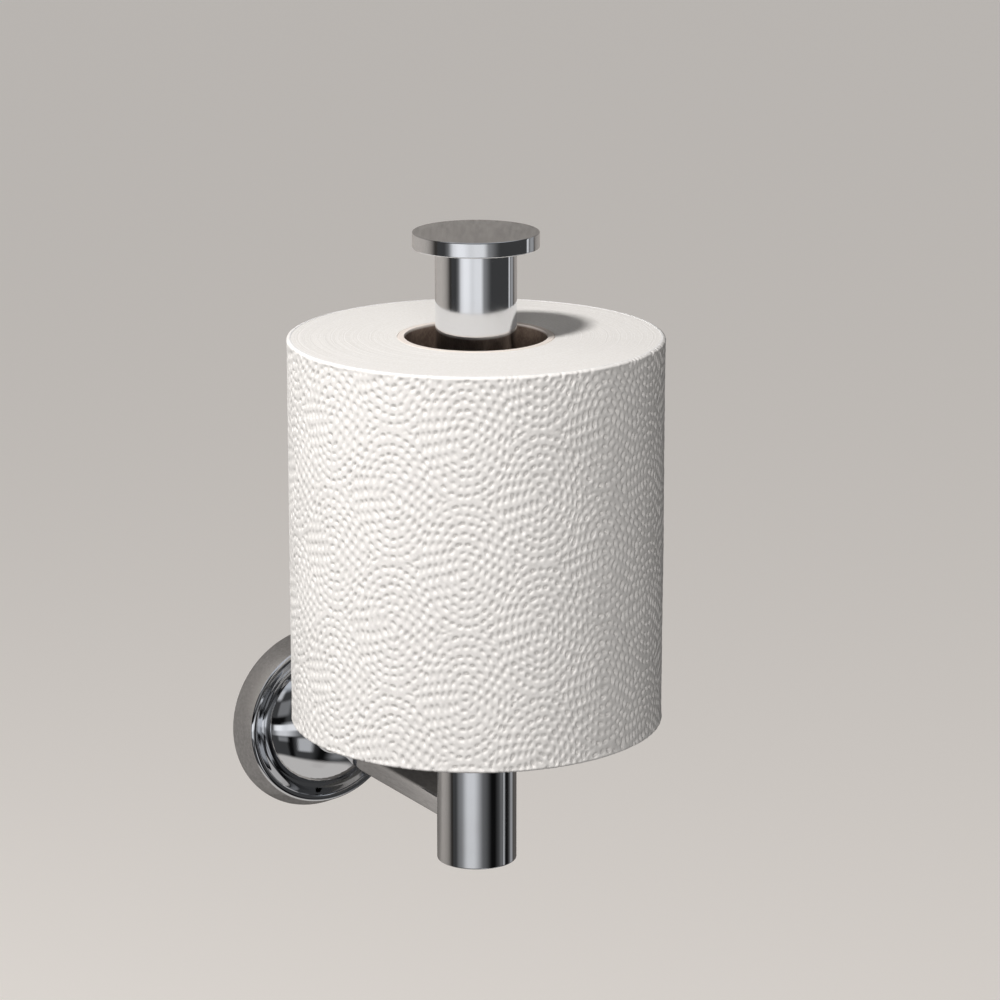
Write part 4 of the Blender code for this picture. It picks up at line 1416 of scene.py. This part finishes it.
# %% [markdown]
# ## Pieces that stay as the CAD made them
# The screws, slug, rod and seal inside the post and boss are never seen from outside. They keep
# their CAD mesh and only get their finish.

# %% Hidden pieces

for node, material in (
    ("arm_screw", STEEL),
    ("clamp_screw", STEEL),
    ("tie_rod", STEEL),
    ("post_insert", BRASS),
    ("cap_o_ring", RUBBER),
):
    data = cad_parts[node].data
    data.materials.clear()
    data.materials.append(material)
print("kept from the CAD:", sorted(n for n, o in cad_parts.items() if not o.hide_render))

# %% [markdown]
# ## The studio
# Chrome has no look of its own: it shows what is round it. So the studio is built for what the
# chrome should see. Behind the holder hangs a pale card where the wall would be, seen only in
# reflections. In front is a dim room with a tall bright window to the left, darker gaps beside
# it and a thin strip on the right. These panels are drawn in the world by direction, so nothing
# stands in the way when the camera goes round. The paper is lit by soft area lights instead.

# %% World: panels by bearing and height


def panel_group():
    """Brightness of one panel: full inside its width and height, fading past its edges."""
    tree, take, end = new_group(
        "studio panel",
        "ShaderNodeTree",
        [
            ("Bearing", FLOAT, 0.0),
            ("Rise", FLOAT, 0.0),
            ("Centre", FLOAT, 0.0),
            ("Half Width", FLOAT, 10.0),
            ("Softness", FLOAT, 5.0),
            ("Low", FLOAT, -10.0),
            ("High", FLOAT, 10.0),
            ("Fade", FLOAT, 3.0),
        ],
        [("Share", FLOAT)],
    )
    aside = (take["Bearing"] - take["Centre"]).math("WRAP", 180.0, -180.0).math("ABSOLUTE")
    wide = 1.0 - aside.smooth(take["Half Width"] - take["Softness"], take["Half Width"] + take["Softness"])
    low = take["Rise"].smooth(take["Low"] - take["Fade"], take["Low"] + take["Fade"])
    high = 1.0 - take["Rise"].smooth(take["High"] - take["Fade"], take["High"] + take["Fade"])
    feed(tree, end.inputs["Share"], wide * low * high)
    return tree


PANEL = panel_group()
# bearing 0 faces away from the wall, 90 is the viewer's left; degrees, and rise above level
# centre, half width, softness, low, high, fade, brightness
PANELS = (
    (44.0, 32.0, 6.0, -15.5, -8.0, 1.5, 0.58),  # tall window
    (58.0, 12.0, 9.0, -15.5, -8.0, 1.5, 0.34),  # its brightest part
    (20.0, 22.0, 14.0, -15.5, -5.0, 1.5, 0.22),  # and its soft edge
    (78.0, 6.0, 6.0, -15.5, -8.0, 1.5, 0.12),
    (50.0, 16.0, 5.0, 4.0, 24.0, 3.0, 0.15),  # a curtain above it
    (95.0, 26.0, 8.0, 27.0, 42.0, 4.0, 0.50),  # pale wall, high on the left
    (-77.5, 2.5, 2.0, -15.5, 8.0, 1.5, 0.70),  # thin strip on the right
    (-91.0, 8.0, 6.0, -30.0, 30.0, 3.0, 0.28),  # card at the far right
    (47.0, 22.0, 16.0, -22.0, -15.5, 1.5, 0.64),  # window light lower down
    (14.0, 12.0, 10.0, -22.0, -15.5, 1.5, 0.08),
    (82.0, 6.0, 6.0, -22.0, -15.5, 1.5, 0.12),  # dim card beside it
    (-56.0, 2.5, 2.5, -22.0, -15.5, 1.5, 0.45),  # a lower strip
    (-47.0, 6.0, 6.0, -22.0, -15.5, 1.5, 0.10),
    (48.0, 13.0, 4.0, -29.0, -23.0, 2.0, 0.17),  # a worktop's edge
    (7.0, 10.0, 4.0, -39.0, -24.0, 2.0, 0.42),
    (-38.0, 12.0, 8.0, -46.0, -34.0, 3.0, 0.16),
)
# dark gaps: centre, half width, softness, low, high
GAPS = (
    (-19.0, 11.0, 7.0, -60.0, -15.5),
    (-68.0, 5.0, 3.0, -22.0, -15.5),
    (66.0, 26.0, 6.0, -7.0, 2.0),
    (30.0, 6.0, 4.0, -50.0, -22.0),
)
GAP_FADE = 1.5
ROOM, GAP_SHADE = 0.05, 0.005


def build_world():
    world = bpy.data.worlds.new("studio")
    bpy.context.scene.world = world
    world.use_nodes = True
    tree = world.node_tree
    tree.nodes.clear()
    way = put(tree, "ShaderNodeSeparateXYZ", {0: out(put(tree, "ShaderNodeTexCoord"), "Generated")})
    bearing = (out(way, "X") * -1).math("ARCTAN2", out(way, "Y") * -1) * (180 / math.pi)
    rise = out(way, "Z").math("ARCSINE") * (180 / math.pi)
    light = 0.0
    for centre, half, soft, low, high, fade, brightness in PANELS:
        one = use_group(
            tree,
            PANEL,
            Bearing=bearing,
            Rise=rise,
            Centre=centre,
            Half_Width=half,
            Softness=soft,
            Low=low,
            High=high,
            Fade=fade,
        )
        light = out(one, "Share") * brightness + light
    dark = 0.0
    for centre, half, soft, low, high in GAPS:
        one = use_group(
            tree,
            PANEL,
            Bearing=bearing,
            Rise=rise,
            Centre=centre,
            Half_Width=half,
            Softness=soft,
            Low=low,
            High=high,
            Fade=GAP_FADE,
        )
        dark = out(one, "Share").math("MAXIMUM", dark)
    room = ROOM - dark * (ROOM - GAP_SHADE)
    above = rise.smooth(36.0, 50.0) * 0.50
    below = (rise * -1).smooth(47.0, 53.0) * 0.48
    tone = light + room
    red, green, blue = tone * 0.985 + above * 0.93, tone * 0.995 + above * 0.98, tone * 1.02 + above * 1.06
    cool = put(
        tree,
        "ShaderNodeCombineColor",
        {"Red": red + below * 1.03, "Green": green + below * 0.99, "Blue": blue + below * 0.95},
    )
    path = put(tree, "ShaderNodeLightPath")
    studio = put(tree, "ShaderNodeBackground", {"Color": out(cool), "Strength": 1.0})
    fill = put(tree, "ShaderNodeBackground", {"Color": (1.0, 0.97, 0.94, 1.0), "Strength": 0.06})
    plain = put(tree, "ShaderNodeBackground", {"Color": (0.60, 0.585, 0.565, 1.0), "Strength": 1.0})
    soft = put(tree, "ShaderNodeMixShader", {"Fac": out(path, "Is Diffuse Ray")})
    feed(tree, soft.inputs[1], out(studio))
    feed(tree, soft.inputs[2], out(fill))
    seen = put(tree, "ShaderNodeMixShader", {"Fac": out(path, "Is Camera Ray")})
    feed(tree, seen.inputs[1], out(soft))
    feed(tree, seen.inputs[2], out(plain))
    end = put(tree, "ShaderNodeOutputWorld")
    feed(tree, end.inputs["Surface"], out(seen))


build_world()
print(len(PANELS), "panels in the world")

# %% Floor and reflection card


def plane(name, corners, material):
    mesh = bpy.data.meshes.new(name)
    mesh.from_pydata(corners, [], [(0, 1, 2, 3)])
    mesh.materials.append(material)
    made = bpy.data.objects.new(name, mesh)
    bpy.context.scene.collection.objects.link(made)
    return made


FLOOR_DROP = 0.30
FLOOR_HALF = 12.0
floor_paint, tree, shader = new_material("floor_paint", (0.58, 0.555, 0.53), 0.9)
shader.inputs["Emission Color"].default_value = (0.400, 0.378, 0.356, 1.0)
shader.inputs["Emission Strength"].default_value = 1.0
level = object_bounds()[0].z - FLOOR_DROP
floor = plane(
    "floor",
    [
        (-FLOOR_HALF, -FLOOR_HALF, level),
        (FLOOR_HALF, -FLOOR_HALF, level),
        (FLOOR_HALF, FLOOR_HALF, level),
        (-FLOOR_HALF, FLOOR_HALF, level),
    ],
    floor_paint,
)
floor.visible_glossy = floor.visible_diffuse = False

wall_card_painted_shade, tree, shader = new_material("wall_card_painted_shade", (0.80, 0.76, 0.72), 1.0)
shader.inputs["Specular IOR Level"].default_value = 0.0
parts = put(tree, "ShaderNodeSeparateXYZ", {0: object_place(tree)})
# Painted light in the card's colour: darker towards the far left, a painted shadow low on the right, and painted shade
# round the rosette and high up. The weave is the wall's own mottle.
left = (out(parts, "X") * -1).smooth(0.05, 0.34)
painted_shadow_low_right = out(parts, "X").smooth(0.0, 0.03) * (1.0 - out(parts, "Z").smooth(0.02, 0.10))
weave = put(tree, "ShaderNodeTexNoise", {"Vector": object_place(tree), "Scale": 700.0, "Detail": 2.0})
painted_shade_near_rosette = 1.0 - hypot(out(parts, "X"), out(parts, "Z")).smooth(0.045, 0.085)
painted_shade_high_up = out(parts, "Z").smooth(0.13, 0.19)
share = (1.0 - left * 0.92) * (1.0 - painted_shadow_low_right * 0.62) * (1.0 - painted_shade_near_rosette * 0.42) * (1.0 - painted_shade_high_up * 0.42)
share = share * (0.68 + out(weave, "Fac") * 0.6)
feed(tree, shader.inputs["Base Color"], tint(tree, (0.0, 0.0, 0.0), (0.66, 0.625, 0.59), share))
CARD_LEFT, CARD_RIGHT, CARD_TOP, CARD_BACK = -0.45, 0.75, 0.8, 0.0008
card_board = plane(
    "reflection_card",
    [
        (CARD_LEFT, CARD_BACK, level),
        (CARD_RIGHT, CARD_BACK, level),
        (CARD_RIGHT, CARD_BACK, CARD_TOP),
        (CARD_LEFT, CARD_BACK, CARD_TOP),
    ],
    wall_card_painted_shade,
)
card_board.visible_camera = False
card_board.visible_diffuse = False
card_board.visible_shadow = False
print(f"floor {FLOOR_DROP} m under the holder")

# %% Lights


def area_light(name, place, target, size, power, colour=(1.0, 1.0, 1.0)):
    data = bpy.data.lights.new(name, "AREA")
    data.shape, data.size, data.energy, data.color = "DISK", size, power, colour
    made = bpy.data.objects.new(name, data)
    made.location = place
    made.rotation_euler = (Vector(target) - Vector(place)).to_track_quat("-Z", "Y").to_euler()
    made.visible_glossy = False
    bpy.context.scene.collection.objects.link(made)
    return made


roll_middle = Vector((ROLL_X, ROLL_Y, (ROLL_LOW + ROLL_HIGH) / 2))


def toward(bearing, rise, distance):
    """A place round the roll, by bearing (0 away from the wall, 90 the viewer's left) and rise."""
    b, e = math.radians(bearing), math.radians(rise)
    return roll_middle + Vector((-math.sin(b) * math.cos(e), -math.cos(b) * math.cos(e), math.sin(e))) * distance


area_light("key", toward(72, 57, 1.1), roll_middle, 0.16, 10.2, (1.0, 0.98, 0.965))
area_light("front_fill", toward(27, 14, 1.6), roll_middle, 0.9, 12.4, (1.0, 0.98, 0.965))
area_light("side_bounce", toward(135, 6, 1.2), roll_middle, 0.6, 5.2, (1.0, 0.975, 0.95))
print("three soft lights")

# %% [markdown]
# ## The camera
# A long lens, a little above the cap and to the left, so that the rosette shows beside the roll.

# %% Camera

CAMERA_PLACE = (-0.523, -0.9998, 0.3594)
CAMERA_BEARING, CAMERA_TILT = math.radians(30.452), math.radians(14.53)
data = bpy.data.cameras.new("camera")
data.lens, data.sensor_width = 140.3, 36.0
data.clip_start, data.clip_end = 0.05, 60.0
camera = bpy.data.objects.new("camera", data)
camera.location = CAMERA_PLACE
camera.rotation_euler = (math.pi / 2 - CAMERA_TILT, 0, -CAMERA_BEARING)
bpy.context.scene.collection.objects.link(camera)
bpy.context.scene.camera = camera
bpy.context.scene.view_settings.view_transform = "Standard"
print("camera", [round(v, 3) for v in camera.location])
